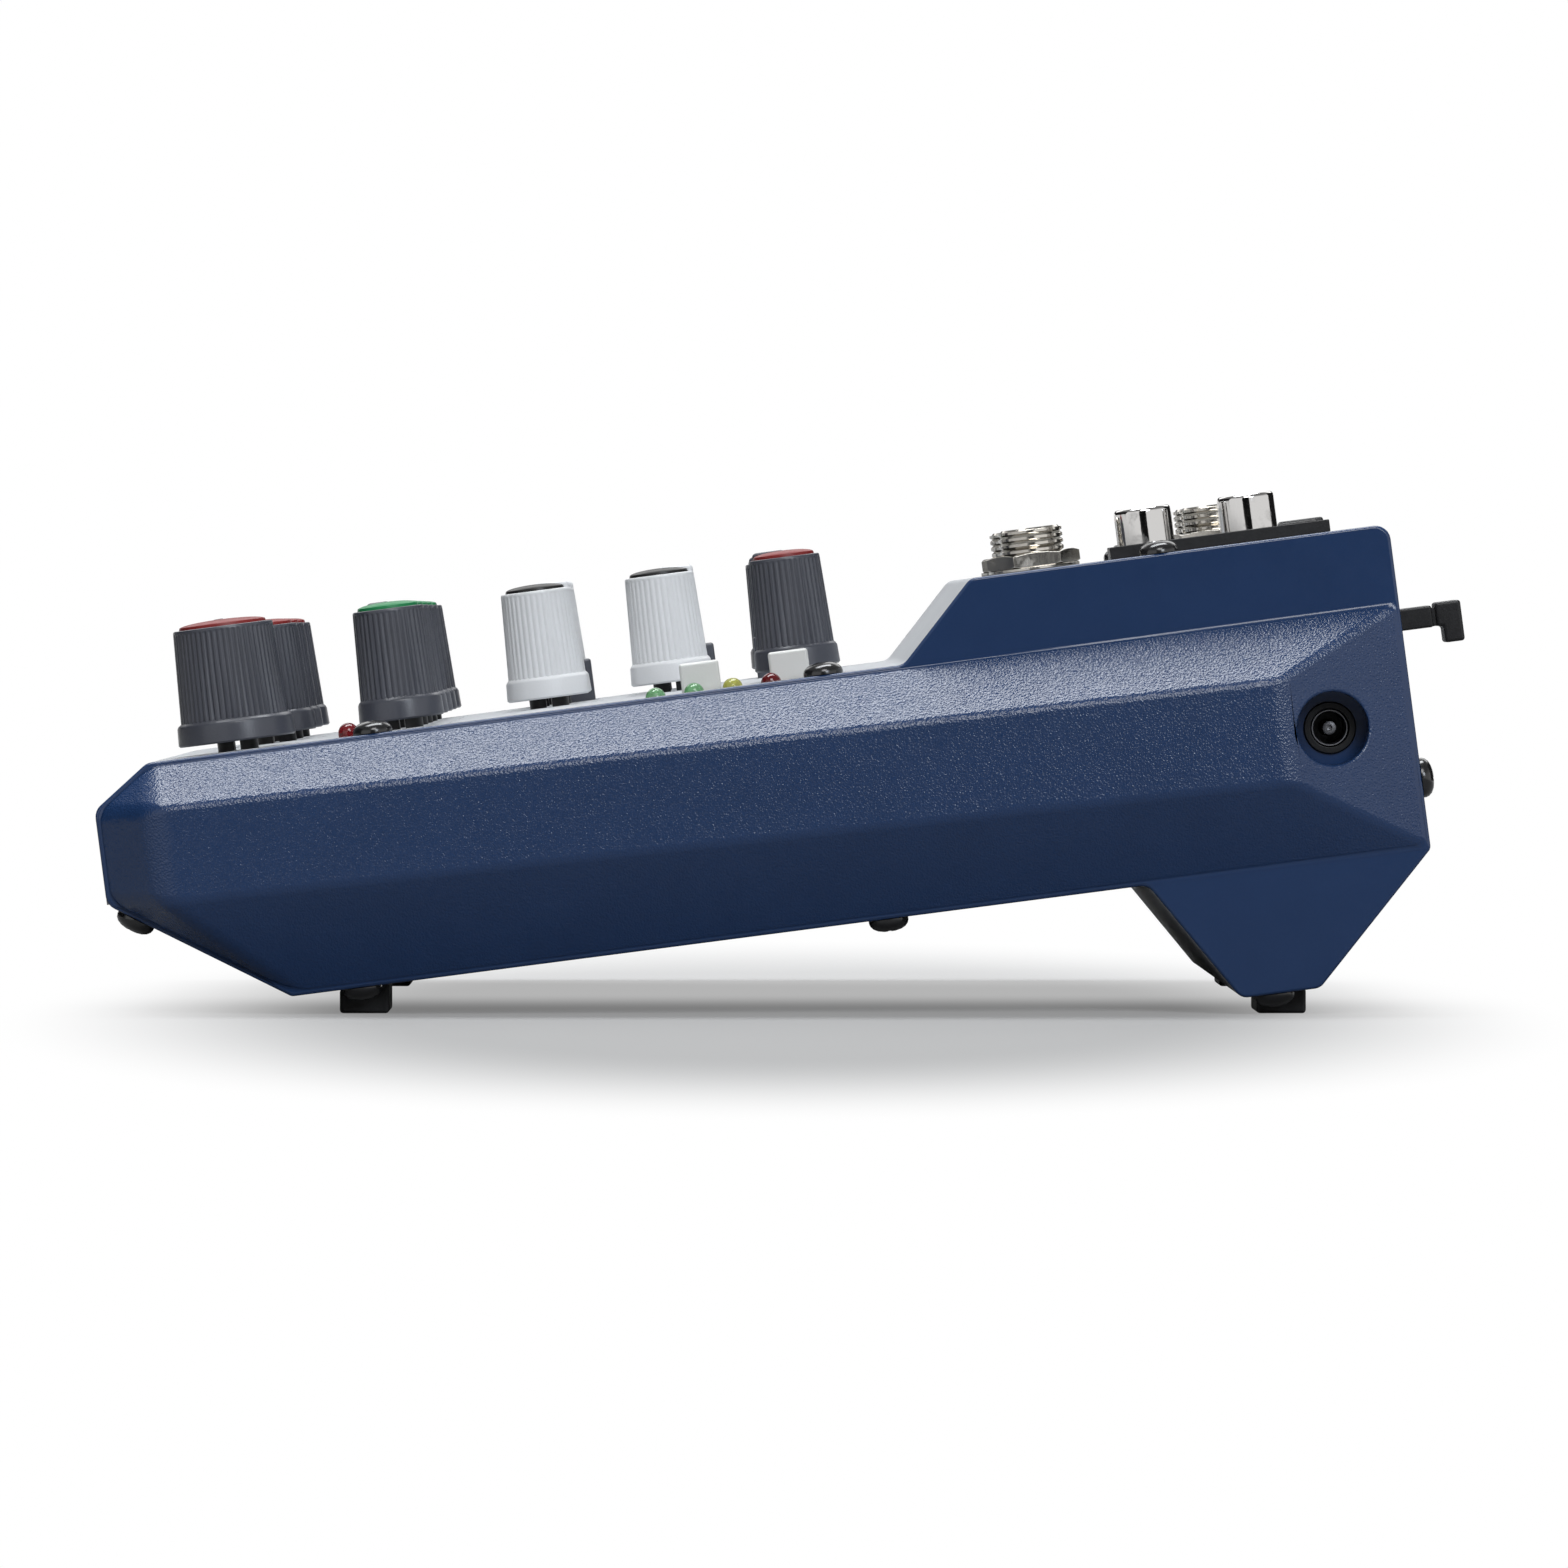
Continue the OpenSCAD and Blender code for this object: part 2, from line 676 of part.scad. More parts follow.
module feet() {
    feet_x = half_w - foot_edge - foot_w;
    color(black) both_sides() {
        difference() {
            foot_block(feet_x, front_foot_y, 0);
            tilted() cube([case_w, case_d, panel_h]);
        }
        difference() {
            foot_block(feet_x, leg_front + rear_foot_y, -leg_drop);
            tilted() translate([0, 0, -leg_drop]) cube([case_w, case_d, panel_h]);
        }
    }
}

// A block that stands on the table and reaches up past the base at y, z
module foot_block(x, y, z) {
    start = tilted_y([y, z]) - centre_y;
    top = tilted_z([y + foot_len, z]) + lift + 1;
    translate([x, start, 0]) cube([foot_w, foot_len, top]);
}

// ---- Cheeks ----

// The solid between a side view at x0 and a raised band at x1
module facets(base, band, x0, x1) {
    b = len(base);
    points = [for (p = base) [x0, p[0], p[1]], for (p = band) [x1, p[0], p[1]]];
    polyhedron(points, [
        [5, 4, 3, 2, 1, 0], [b, b + 1, b + 2, b + 3],
        [0, 1, b + 1], [0, b + 1, b], [1, 2, b + 1],
        [2, 3, b + 2], [2, b + 2, b + 1], [3, 4, b + 3], [3, b + 3, b + 2],
        [4, 5, b], [4, b, b + 3], [5, 0, b]
    ]);
}

module relief() {
    facets(relief_outline, band_outline, half_w, half_w + cheek_relief);
}

// The hollow inside the relief, open towards the case
module relief_hollow() {
    base = inset(relief_outline, cheek_rim + cheek_wall, true);
    across(half_w - 2 * cheek_plate, 2 * cheek_plate) polygon(base);
    facets(base, inset(band_outline, cheek_wall, true), half_w, half_w + cheek_relief - cheek_wall);
}

// The bosses inside the sheet that take the case screws
module screw_lugs() {
    at_screws() difference() {
        translate([0, 0, -cheek_rim - lug_depth]) cylinder(h = lug_depth, d = lug_d);
        translate([screw_edge, -lug_d, -2 * lug_depth]) cube([lug_d, 2 * lug_d, 3 * lug_depth]);
    }
}

// The tube round the power inlet, from its face out to the relief
module inlet_tube() {
    intersection() {
        inlet_axis(half_w - inlet_depth) cylinder(h = 2 * cheek_relief, d = recess_d + 2 * cheek_wall);
        union() {
            across(half_w - 2 * inlet_depth, 2 * inlet_depth) polygon(relief_outline);
            relief();
        }
    }
}

module cheek(has_inlet) {
    side = rounded(case_outline, even_radii(case_outline, bend_r));
    color(cheek_colour) difference() {
        union() {
            difference() {
                union() {
                    across(half_w - cheek_plate, cheek_plate) polygon(inset(side, cheek_rim, true));
                    across(half_w - cheek_lip, cheek_lip) polygon(side);
                    relief();
                }
                relief_hollow();
            }
            screw_lugs();
            if (has_inlet) inlet_tube();
        }
        at_screws() translate([0, 0, -cheek_rim - screw_len])
            cylinder(h = screw_len + 1, d = screw_d + 2 * fit_gap);
        if (has_inlet) inlet_axis(half_w - 2 * inlet_depth)
            cylinder(h = 2 * inlet_depth + 2 * cheek_relief, d = recess_d);
    }
}

module cheek_right() {
    tilted() cheek(true);
}

module cheek_left() {
    mirror([1, 0, 0]) tilted() cheek(false);
}

// ---- Screws ----

module case_screws() {
    color(black) tilted() both_sides() at_screws() {
        cylinder(h = screw_head_h / 2, d = screw_head_d);
        translate([0, 0, screw_head_h / 2])
            cylinder(h = screw_head_h / 2, d1 = screw_head_d, d2 = 0.6 * screw_head_d);
        translate([0, 0, -screw_len]) cylinder(h = screw_len, d = screw_d);
    }
}

// ---- Knobs ----

// The frame of a control: on the panel, turned to where the control points
module on_panel(x, y, angle) {
    tilted() translate([x, y, panel_h]) rotate([0, 0, angle]) children();
}

module knob(k) {
    main = k[4];
    height = main ? main_h : knob_h;
    skirt = main ? main_skirt_d : skirt_d;
    low = main ? main_low_d : grip_low_d;
    top = main ? main_top_d : grip_top_d;
    seat = main ? main_cap_d : cap_d;
    color(k[5]) on_panel(k[1], k[2], k[3]) {
        translate([0, 0, knob_gap]) {
            difference() {
                union() {
                    cylinder(h = skirt_h, d = skirt);
                    translate([0, 0, skirt_h]) cylinder(h = height - skirt_h, d1 = low, d2 = top);
                }
                translate([0, 0, height - cap_seat]) cylinder(h = 2 * cap_seat, d = seat + 2 * seat_gap);
            }
            translate([-pointer_w / 2, 0, height - 2 * cap_seat])
                cube([pointer_w, top / 2, 2 * cap_seat + cap_rise]);
        }
        translate([0, 0, shaft_bottom - panel_h]) cylinder(h = panel_h + knob_gap - shaft_bottom, d = shaft_d);
    }
}

module cap(k) {
    main = k[4];
    height = main ? main_h : knob_h;
    width = main ? main_cap_d : cap_d;
    dome_r = (pow(width / 2, 2) + pow(cap_rise, 2)) / (2 * cap_rise);
    color(k[6]) on_panel(k[1], k[2], k[3]) translate([0, 0, knob_gap + height - cap_seat])
        difference() {
            intersection() {
                cylinder(h = cap_seat + cap_rise, d = width);
                translate([0, 0, cap_seat + cap_rise - dome_r]) sphere(r = dome_r, $fn = 96);
            }
            translate([-pointer_w / 2 - seat_gap, -seat_gap, -1])
                cube([pointer_w + 2 * seat_gap, width, 2 + cap_seat + cap_rise]);
        }
}

// ---- Buttons and lights ----

button_base = control_board_z + switch_h + button_travel + seat_gap;
shaft_bottom = control_board_z + shaft_seat;

module button(b) {
    color(b[4]) tilted() translate([b[1], b[2], 0]) {
        translate([0, 0, (button_base + panel_h + b[3]) / 2])
            cube([button_w, button_w, panel_h + b[3] - button_base], center = true);
        translate([0, 0, button_base - button_travel])
            cube([stem_w, stem_w, 2 * button_travel], center = true);
    }
}

module indicator_leds() {
    flange_z = under_panel - led_flange_low;
    tilted() for (l = LIGHTS) translate([half_w - led_edge, l[0], 0]) color(l[1]) {
        translate([0, 0, flange_z]) cylinder(h = 1, d = led_flange_d);
        translate([0, 0, flange_z]) cylinder(h = panel_h + l[2] - led_d / 2 - flange_z, d = led_d);
        translate([0, 0, panel_h + l[2] - led_d / 2]) sphere(d = led_d);
        for (x = [-led_lead_pitch, led_lead_pitch] / 2)
            translate([x - led_lead / 2, -led_lead / 2, control_board_z])
                cube([led_lead, led_lead, flange_z - control_board_z]);
    }
}

// ---- Boards and what stands on them ----

module circuit_boards() {
    width = case_w - 2 * cheek_plate - 2 * board_gap;
    jack_width = case_w - 2 * (screw_edge + lug_d / 2 + button_gap);
    color(board_colour) tilted() {
        translate([-width / 2, board_front, control_board_z - board_t])
            cube([width, control_rear - board_front, board_t]);
        translate([-jack_width / 2, jack_front, jack_board_z - board_t])
            cube([jack_width, jack_rear - jack_front, board_t]);
    }
}

module board_spacers() {
    color(nickel) tilted() {
        for (at = CONTROL_SPACERS) translate([at[0], at[1], control_board_z])
            cylinder(h = under_panel - control_board_z, d = spacer_d);
        for (at = JACK_SPACERS) translate([at[0], at[1], jack_board_z])
            cylinder(h = under_deck - jack_board_z, d = spacer_d);
    }
}

// The potentiometer under each knob, and the switch under each button
module board_components() {
    hole_w = stem_w + 2 * seat_gap;
    color(black) tilted() for (k = KNOBS) translate([k[1], k[2], control_board_z]) difference() {
        union() {
            translate([-pot_w / 2, -pot_len / 2, 0]) cube([pot_w, pot_len, pot_h]);
            cylinder(h = under_panel - control_board_z - 1, d = bushing_d);
        }
        translate([0, 0, shaft_bottom - control_board_z - seat_gap])
            cylinder(h = panel_h, d = shaft_d + 2 * run_gap);
    }
    color(black) tilted() for (b = BUTTONS) translate([b[1], b[2], control_board_z]) difference() {
        translate([-switch_w / 2, -switch_w / 2, 0]) cube([switch_w, switch_w, switch_h]);
        translate([-hole_w / 2, -hole_w / 2, 0.5]) cube([hole_w, hole_w, switch_h]);
    }
}

module ribbon_cable() {
    start_y = control_rear - plug_edge;
    end_y = jack_front + plug_edge;
    drop_z = control_board_z - board_t - ribbon_plug;
    seat_z = jack_board_z + ribbon_plug;
    path = [
        [start_y, drop_z], [start_y, drop_z - ribbon_lead], [panel_len, drop_z - ribbon_lead],
        [panel_len, seat_z + ribbon_lead], [end_y, seat_z + ribbon_lead], [end_y, seat_z]
    ];
    bends = rounded(path, [for (i = [0:5]) i == 0 || i == 5 ? 0 : ribbon_bend]);
    color(ribbon_colour) tilted() {
        across(-ribbon_w / 2, ribbon_w) polygon(concat(bends, reversed(inset(bends, ribbon_t, false))));
        for (at = [[start_y, drop_z], [end_y, jack_board_z]])
            translate([0, at[0], at[1] + ribbon_plug / 2])
                cube([ribbon_w + 2 * ribbon_t, ribbon_plug, ribbon_plug], center = true);
    }
}

// ---- Sockets ----

phono_x = half_w - phono_edge;
phono_ys = [rise_top + phono_y, rise_top + phono_y + phono_pitch];

module jack_bodies() {
    color(nickel) tilted() for (j = JACKS) translate([j[0], j[1], 0]) difference() {
        union() {
            translate([-jack_w / 2, -jack_len / 2, jack_board_z])
                cube([jack_w, jack_len, under_deck - jack_board_z]);
            translate([0, 0, under_deck]) cylinder(h = sheet_t + collar_h, d = collar_d);
        }
        translate([0, 0, deck_h + collar_h - plug_depth]) cylinder(h = plug_depth + 1, d = plug_d);
    }
}

module jack_nuts() {
    color(nickel) tilted() for (j = JACKS) translate([j[0], j[1], deck_h]) difference() {
        union() {
            cylinder(h = washer_t, d = washer_d);
            translate([0, 0, washer_t]) cylinder(h = nut_h, d = nut_af / cos(30), $fn = 6);
        }
        translate([0, 0, -1]) cylinder(h = washer_t + nut_h + 2, d = collar_d + 2 * fit_gap);
    }
}

module phono_block() {
    length = phono_pitch + 2 * phono_end;
    start = phono_ys[0] - phono_end;
    insert_d = phono_d - 2 * (phono_wall + phono_slot);
    // The body clears the power inlet below it, and stands on the board in front of the inlet
    body_z = 2 * inlet_z - jack_board_z + 1;
    foot_end = case_d - inlet_rear - inlet_body_w / 2 - 1;
    color(black) tilted() difference() {
        union() {
            translate([phono_x - phono_w / 2, start, deck_h]) cube([phono_w, length + phono_ear, phono_flange]);
            translate([phono_x - phono_w / 2, start, body_z]) cube([phono_w, length, under_deck - body_z]);
            translate([phono_x - phono_w / 2, start, jack_board_z])
                cube([phono_w, foot_end - start, body_z - jack_board_z]);
            for (y = phono_ys) {
                translate([phono_x, y, under_deck - 1]) cylinder(h = phono_flange + sheet_t + 1, d = phono_d + 0.2);
                translate([phono_x, y, deck_h]) cylinder(h = phono_h - 1, d = insert_d);
            }
        }
        for (y = phono_ys) translate([phono_x, y, deck_h - phono_hole_depth])
            cylinder(h = phono_hole_depth + phono_h, d = phono_hole_d);
    }
}

module phono_sleeves() {
    color(nickel) tilted() for (y = phono_ys) translate([phono_x, y, deck_h + phono_flange]) difference() {
        cylinder(h = phono_h - phono_flange, d = phono_d);
        translate([0, 0, -1]) cylinder(h = phono_h + 2, d = phono_d - 2 * phono_wall);
    }
}

// The tab's guide runs in the middle of the wall round the mouth
guide_r = (combo_mouth_d + combo_d) / 4 - guide_t / 2;

module at_combo(z) {
    tilted() translate([combo_x, rise_top + combo_y, deck_h + z]) children();
}

// The shell of the combination socket: its flange, and the tube that holds the core
module combo_shell() {
    guide_gap = 2 * seat_gap;
    slot_depth = guide_depth + latch_travel + seat_gap;
    color(black) difference() {
        at_combo(0) {
            linear_extrude(combo_flange) rounded_plate(combo_w, combo_len, combo_corner);
            translate([0, 0, -combo_depth]) cylinder(h = combo_depth, d = combo_d);
        }
        at_combo(combo_flange - combo_mouth_depth) cylinder(h = 2 * combo_mouth_depth, d = combo_mouth_d);
        at_combo(combo_floor - combo_depth) cylinder(h = combo_depth, d = combo_core_d + 2 * seat_gap);
        // Notch for the release tab, and the slot for its guide
        at_combo(0) translate([-latch_w / 2 - button_gap, guide_r - guide_gap, 0])
            cube([latch_w + 2 * button_gap, combo_len, 2 * combo_flange]);
        at_combo(-slot_depth) translate([-guide_w / 2 - button_gap, guide_r - guide_gap, 0])
            cube([guide_w + 2 * button_gap, guide_t + 2 * guide_gap, slot_depth + combo_flange]);
    }
}

// Its core, with a hole for a 6.35 mm plug and three contact holes
module combo_core() {
    core_z = combo_floor - combo_depth;
    core_top = combo_flange - core_low;
    color(black) difference() {
        at_combo(core_z) cylinder(h = core_top - core_z, d = combo_core_d);
        at_combo(core_z + core_floor) cylinder(h = combo_depth + combo_flange, d = plug_d);
        at_combo(combo_flange - combo_mouth_depth) for (a = [0, 120, 240]) rotate([0, 0, a])
            translate([0, -contact_r, 0]) cylinder(h = 2 * combo_mouth_depth, d = contact_d);
    }
}

module rounded_plate(w, l, r) {
    square([w - 2 * r, l], center = true);
    square([w, l - 2 * r], center = true);
    for (x = [-1, 1], y = [-1, 1]) translate([x * (w / 2 - r), y * (l / 2 - r)]) circle(r);
}

module combo_latch() {
    tab_top = combo_flange + latch_proud;
    color(black) {
        at_combo(tab_top - latch_t) translate([-latch_w / 2, guide_r, 0])
            cube([latch_w, combo_len / 2 + latch_reach - guide_r, latch_t]);
        at_combo(-guide_depth) translate([-guide_w / 2, guide_r, 0])
            cube([guide_w, guide_t, guide_depth + tab_top]);
    }
}

module inlet_axis(x) {
    translate([x, case_d - inlet_rear, inlet_z]) rotate([0, 90, 0]) children();
}

inlet_face = half_w - inlet_depth;

// The power inlet: a block with a collar and a bore, which ends in a seat for the pin
module dc_inlet() {
    color(black) difference() {
        union() {
            tilted() translate([inlet_face - inlet_body_len, case_d - inlet_rear - inlet_body_w / 2, jack_board_z])
                cube([inlet_body_len, inlet_body_w, 2 * (inlet_z - jack_board_z)]);
            tilted() inlet_axis(inlet_face - 1) cylinder(h = 1 + inlet_collar_h, d = inlet_collar_d);
        }
        tilted() inlet_axis(inlet_face - inlet_bore_depth) cylinder(h = 2 * inlet_bore_depth, d = inlet_bore_d);
        tilted() inlet_axis(inlet_face - inlet_bore_depth - pin_seat)
            cylinder(h = 2 * pin_seat, d = inlet_pin_d + 2 * fit_gap);
    }
}

module inlet_pin() {
    color(nickel) tilted() inlet_axis(inlet_face - inlet_bore_depth - pin_seat)
        cylinder(h = inlet_bore_depth + pin_seat - pin_short, d = inlet_pin_d);
}

module cable_hook() {
    x = half_w - hook_edge - hook_w / 2;
    inner_y = case_d - sheet_t - hook_plate;
    color(black) tilted() {
        translate([x, inner_y, hook_z - hook_arm]) cube([hook_w, hook_end[0] - inner_y, hook_arm]);
        translate([x, hook_end[0] - hook_tip, hook_z - hook_drop]) cube([hook_w, hook_tip, hook_drop]);
        translate([x - hook_plate_edge, inner_y, hook_z - hook_arm - hook_plate_edge])
            cube([hook_w + 2 * hook_plate_edge, hook_plate, hook_arm + 2 * hook_plate_edge]);
    }
}

cheek_left();
cheek_right();
top_panel();
base_pan();
feet();
case_screws();
cable_hook();
circuit_boards();
board_components();
board_spacers();
ribbon_cable();
indicator_leds();
jack_bodies();
jack_nuts();
phono_block();
phono_sleeves();
combo_shell();
combo_core();
combo_latch();
dc_inlet();
inlet_pin();
for (b = BUTTONS) button(b);
for (k = KNOBS) {
    knob(k);
    cap(k);
}
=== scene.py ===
import json
import math

import bmesh
import bpy
from mathutils import Matrix, Vector


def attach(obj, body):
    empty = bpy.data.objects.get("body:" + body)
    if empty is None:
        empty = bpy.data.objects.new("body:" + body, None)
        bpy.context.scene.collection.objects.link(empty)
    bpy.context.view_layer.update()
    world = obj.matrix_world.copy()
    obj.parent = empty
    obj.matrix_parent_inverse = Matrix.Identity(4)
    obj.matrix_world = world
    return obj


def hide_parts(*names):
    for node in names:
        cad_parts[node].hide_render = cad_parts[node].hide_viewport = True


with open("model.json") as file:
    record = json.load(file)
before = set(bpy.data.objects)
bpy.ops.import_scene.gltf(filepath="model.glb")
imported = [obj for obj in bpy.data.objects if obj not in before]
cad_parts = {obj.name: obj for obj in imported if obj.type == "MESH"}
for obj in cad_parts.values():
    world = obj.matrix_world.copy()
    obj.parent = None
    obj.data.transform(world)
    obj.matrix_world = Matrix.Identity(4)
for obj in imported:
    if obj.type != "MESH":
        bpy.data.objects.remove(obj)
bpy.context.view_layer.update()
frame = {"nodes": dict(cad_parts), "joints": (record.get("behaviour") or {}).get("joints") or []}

MM_PER_M = 1000

# The console leans back on its leg. Pieces are drawn in the case's own frame, in millimetres:
# x from the centre line, y back from the front face, z up from the flat base.
HALF_W = 80
PANEL_H = 36.3
RISE_TOP = 130.3
DECK_H = 47.5
CASE_D = 191.5
SHEET_T = 1
JACK_BOARD_H = 13.7
MAIN_KNOB_AT = (58, 21)

joints = {joint["name"]: joint for joint in frame["joints"]}
main_joint = joints["main_level_turn"]
panel_normal = Vector(main_joint["axis"])
TILT = Matrix.Rotation(math.atan2(-panel_normal.y, panel_normal.z), 4, "X")
LEAN = TILT @ Matrix.Scale(1 / MM_PER_M, 4)
main_knob_foot = LEAN @ Vector((*MAIN_KNOB_AT, PANEL_H))
CASE = Matrix.Translation(Vector(main_joint["pos_m"]) - main_knob_foot) @ LEAN
TO_CASE = CASE.inverted()


def knob_place(name):
    """Where a knob stands on the panel, in the case's frame."""
    return TO_CASE @ Vector(joints[name + "_turn"]["pos_m"])


def at(x, y, z, turn=0):
    """A place, turned about Z by so many degrees."""
    return Matrix.Translation((x, y, z)) @ Matrix.Rotation(math.radians(turn), 4, "Z")


# ---- Materials ----


class Value:
    """A shader socket that takes part in Python sums."""

    def __init__(self, shading, socket):
        self.shading, self.socket = shading, socket

    def __add__(self, other):
        return self.shading.maths("ADD", self, other)

    def __sub__(self, other):
        return self.shading.maths("SUBTRACT", self, other)

    def __rsub__(self, other):
        return self.shading.maths("SUBTRACT", other, self)

    def __mul__(self, other):
        return self.shading.maths("MULTIPLY", self, other)

    __radd__ = __add__
    __rmul__ = __mul__

    def above(self, edge, width):
        """0 below the edge and 1 above it, with a soft step of that width."""
        return self.shading.node(
            "ShaderNodeMapRange",
            {"interpolation_type": "SMOOTHSTEP"},
            {"Value": self, "From Min": edge - width / 2, "From Max": edge + width / 2},
        )


class Shading:
    """The nodes of a material or of the world."""

    def __init__(self, tree):
        self.tree = tree

    def node(self, kind, settings, inputs, output=0):
        """Any node: its settings, the values or links of its inputs, and the output to take from it."""
        made = self.tree.nodes.new(kind)
        for name, value in settings.items():
            setattr(made, name, value)
        for name, value in inputs.items():
            if isinstance(value, Value):
                self.tree.links.new(value.socket, made.inputs[name])
            else:
                made.inputs[name].default_value = value
        return Value(self, made.outputs[output])

    def maths(self, operation, first, second=0.0):
        """One Math node on two values or numbers."""
        return self.node("ShaderNodeMath", {"operation": operation}, {0: first, 1: second})

    def rays(self, *kinds):
        """1 for the rays of these kinds, 0 for all others."""
        found, *others = [self.node("ShaderNodeLightPath", {}, {}, kind) for kind in kinds]
        for other in others:
            found = self.maths("MAXIMUM", found, other)
        return found


class Finish(Shading):
    """A material on the Principled shader: constants go straight onto its sockets."""

    def __init__(self, name, colour, roughness, **constants):
        self.material = bpy.data.materials.new(name)
        self.material.use_nodes = True
        super().__init__(self.material.node_tree)
        self.shader = self.tree.nodes["Principled BSDF"]
        self.shader.inputs["Base Color"].default_value = (*colour, 1)
        self.shader.inputs["Roughness"].default_value = roughness
        for socket, value in constants.items():
            self.shader.inputs[socket.replace("_", " ")].default_value = value
        self.material.diffuse_color = (*colour, 1)

    def place(self):
        """Where on the piece a point is, in metres."""
        return self.node("ShaderNodeTexCoord", {}, {}, "Object")

    def part(self, axis):
        """One coordinate of the place, in metres."""
        return self.node("ShaderNodeSeparateXYZ", {}, {"Vector": self.place()}, axis)

    def noise(self, grain_mm, detail=2.0, squash=(1, 1, 1)):
        """Noise whose blobs are about grain_mm across, from 0 to 1."""
        scaled = self.node("ShaderNodeMapping", {}, {"Vector": self.place(), "Scale": squash})
        scale = MM_PER_M / grain_mm
        return self.node("ShaderNodeTexNoise", {}, {"Vector": scaled, "Scale": scale, "Detail": detail})

    def grains(self, grain_mm):
        """Distance to the nearest of many points about grain_mm apart."""
        scale = MM_PER_M / grain_mm
        return self.node("ShaderNodeTexVoronoi", {}, {"Vector": self.place(), "Scale": scale})

    def blend(self, factor, first, second):
        """The first colour where the factor is 0, the second where it is 1."""
        made = self.tree.nodes.new("ShaderNodeMix")
        made.data_type = "RGBA"
        sockets = {socket.identifier: socket for socket in (*made.inputs, *made.outputs)}
        self.tree.links.new(factor.socket, sockets["Factor_Float"])
        sockets["A_Color"].default_value = (*first, 1)
        sockets["B_Color"].default_value = (*second, 1)
        return Value(self, sockets["Result_Color"])

    def vary(self, **sockets):
        """What changes over the surface, such as Base_Color or Roughness."""
        for name, value in sockets.items():
            self.tree.links.new(value.socket, self.shader.inputs[name.replace("_", " ")])
        return self

    def bump(self, height, height_mm):
        """Relief of that height, where the value goes from 0 to 1."""
        distance = height_mm / MM_PER_M
        return self.vary(Normal=self.node("ShaderNodeBump", {}, {"Height": height, "Distance": distance}))


def shade(colour, share):
    """A darker or lighter shade of a colour."""
    return tuple(min(1, channel * share) for channel in colour)


def uneven(middle, spread, noise):
    """The middle value, which the noise moves by up to half the spread either way."""
    return noise * spread + (middle - spread / 2)


def moulded(name, colour, roughness, grain_mm=0.35, height_mm=0.02, mottle=0.12, **constants):
    """Moulded plastic with a fine even grain and a faint mottle."""
    finish = Finish(name, colour, roughness, **constants)
    cloud = finish.noise(6, 3)
    finish.vary(
        Base_Color=finish.blend(cloud, shade(colour, 1 - mottle), shade(colour, 1 + mottle)),
        Roughness=uneven(roughness, 0.16, finish.noise(grain_mm * 3, 2)),
    )
    return finish.bump(finish.noise(grain_mm, 2), height_mm).material


def cheek_plastic():
    """Dark blue plastic: spark-eroded grain on the relief, smoother on the flat walls."""
    deep, open_blue, roughness = (0.011, 0.034, 0.102), (0.018, 0.049, 0.140), 0.2
    finish = Finish("cheek_blue_plastic", deep, roughness)
    from_middle = finish.maths("ABSOLUTE", finish.part("X"))
    on_relief = from_middle.above((HALF_W + 0.15) / MM_PER_M, 0.2 / MM_PER_M)
    grain = finish.grains(0.34) * 0.6 + finish.noise(0.22, 1) * 0.5
    wall_grain = finish.noise(0.6, 1) * 0.04
    finish.vary(
        Base_Color=finish.blend(finish.noise(9, 4) * 0.6 + grain * 0.3, deep, open_blue),
        Roughness=uneven(roughness, 0.06, finish.noise(1.2, 2)),
    )
    return finish.bump(on_relief * grain + wall_grain, 0.08).material


def powder_coat():
    """Light grey powder coat over sheet steel, with a shallow orange peel."""
    grey, paler, roughness = (0.42, 0.44, 0.46), (0.47, 0.48, 0.50), 0.51
    finish = Finish("panel_powder_coat", grey, roughness, Specular_IOR_Level=0.2)
    finish.vary(
        Base_Color=finish.blend(finish.noise(14, 3), grey, paler),
        Roughness=uneven(roughness, 0.14, finish.noise(1.6, 2)),
    )
    return finish.bump(finish.noise(0.9, 2), 0.018).material


def plated(name, colour, roughness):
    """Plated metal with a faint drawn grain and a few dull spots."""
    finish = Finish(name, colour, roughness, Metallic=1.0)
    spots = finish.noise(2.5, 4).above(0.62, 0.12)
    drawn = finish.noise(0.4, 2, squash=(1, 1, 0.2))
    finish.vary(
        Base_Color=finish.blend(spots * 0.5, colour, shade(colour, 0.8)),
        Roughness=spots * 0.12 + uneven(roughness, 0.08, drawn),
    )
    return finish.bump(finish.noise(0.25, 2, squash=(1, 1, 0.15)), 0.002).material


def tinted_lens(name, colour):
    """Tinted resin that lets most of the light through, with a faint cloud in it."""
    finish = Finish(name, colour, 0.06, Transmission_Weight=0.65, IOR=1.5)
    pale = tuple(min(1, channel * 1.3 + 0.03) for channel in colour)
    return finish.vary(Base_Color=finish.blend(finish.noise(1.4, 1), colour, pale)).material


def solder_mask():
    """Green solder mask with copper tracks just under it."""
    bare, track, pitch_mm = (0.006, 0.060, 0.026), (0.014, 0.110, 0.045), 6
    finish = Finish("board_solder_mask", bare, 0.3, Coat_Weight=0.3)
    tracks = finish.node(
        "ShaderNodeTexBrick",
        {"offset": 0.37},
        {"Vector": finish.place(), "Scale": MM_PER_M / pitch_mm, "Mortar Size": 0.06, "Mortar Smooth": 0.1},
        "Fac",
    )
    finish.vary(Base_Color=finish.blend(tracks, bare, track))
    return finish.bump(tracks, 0.03).material


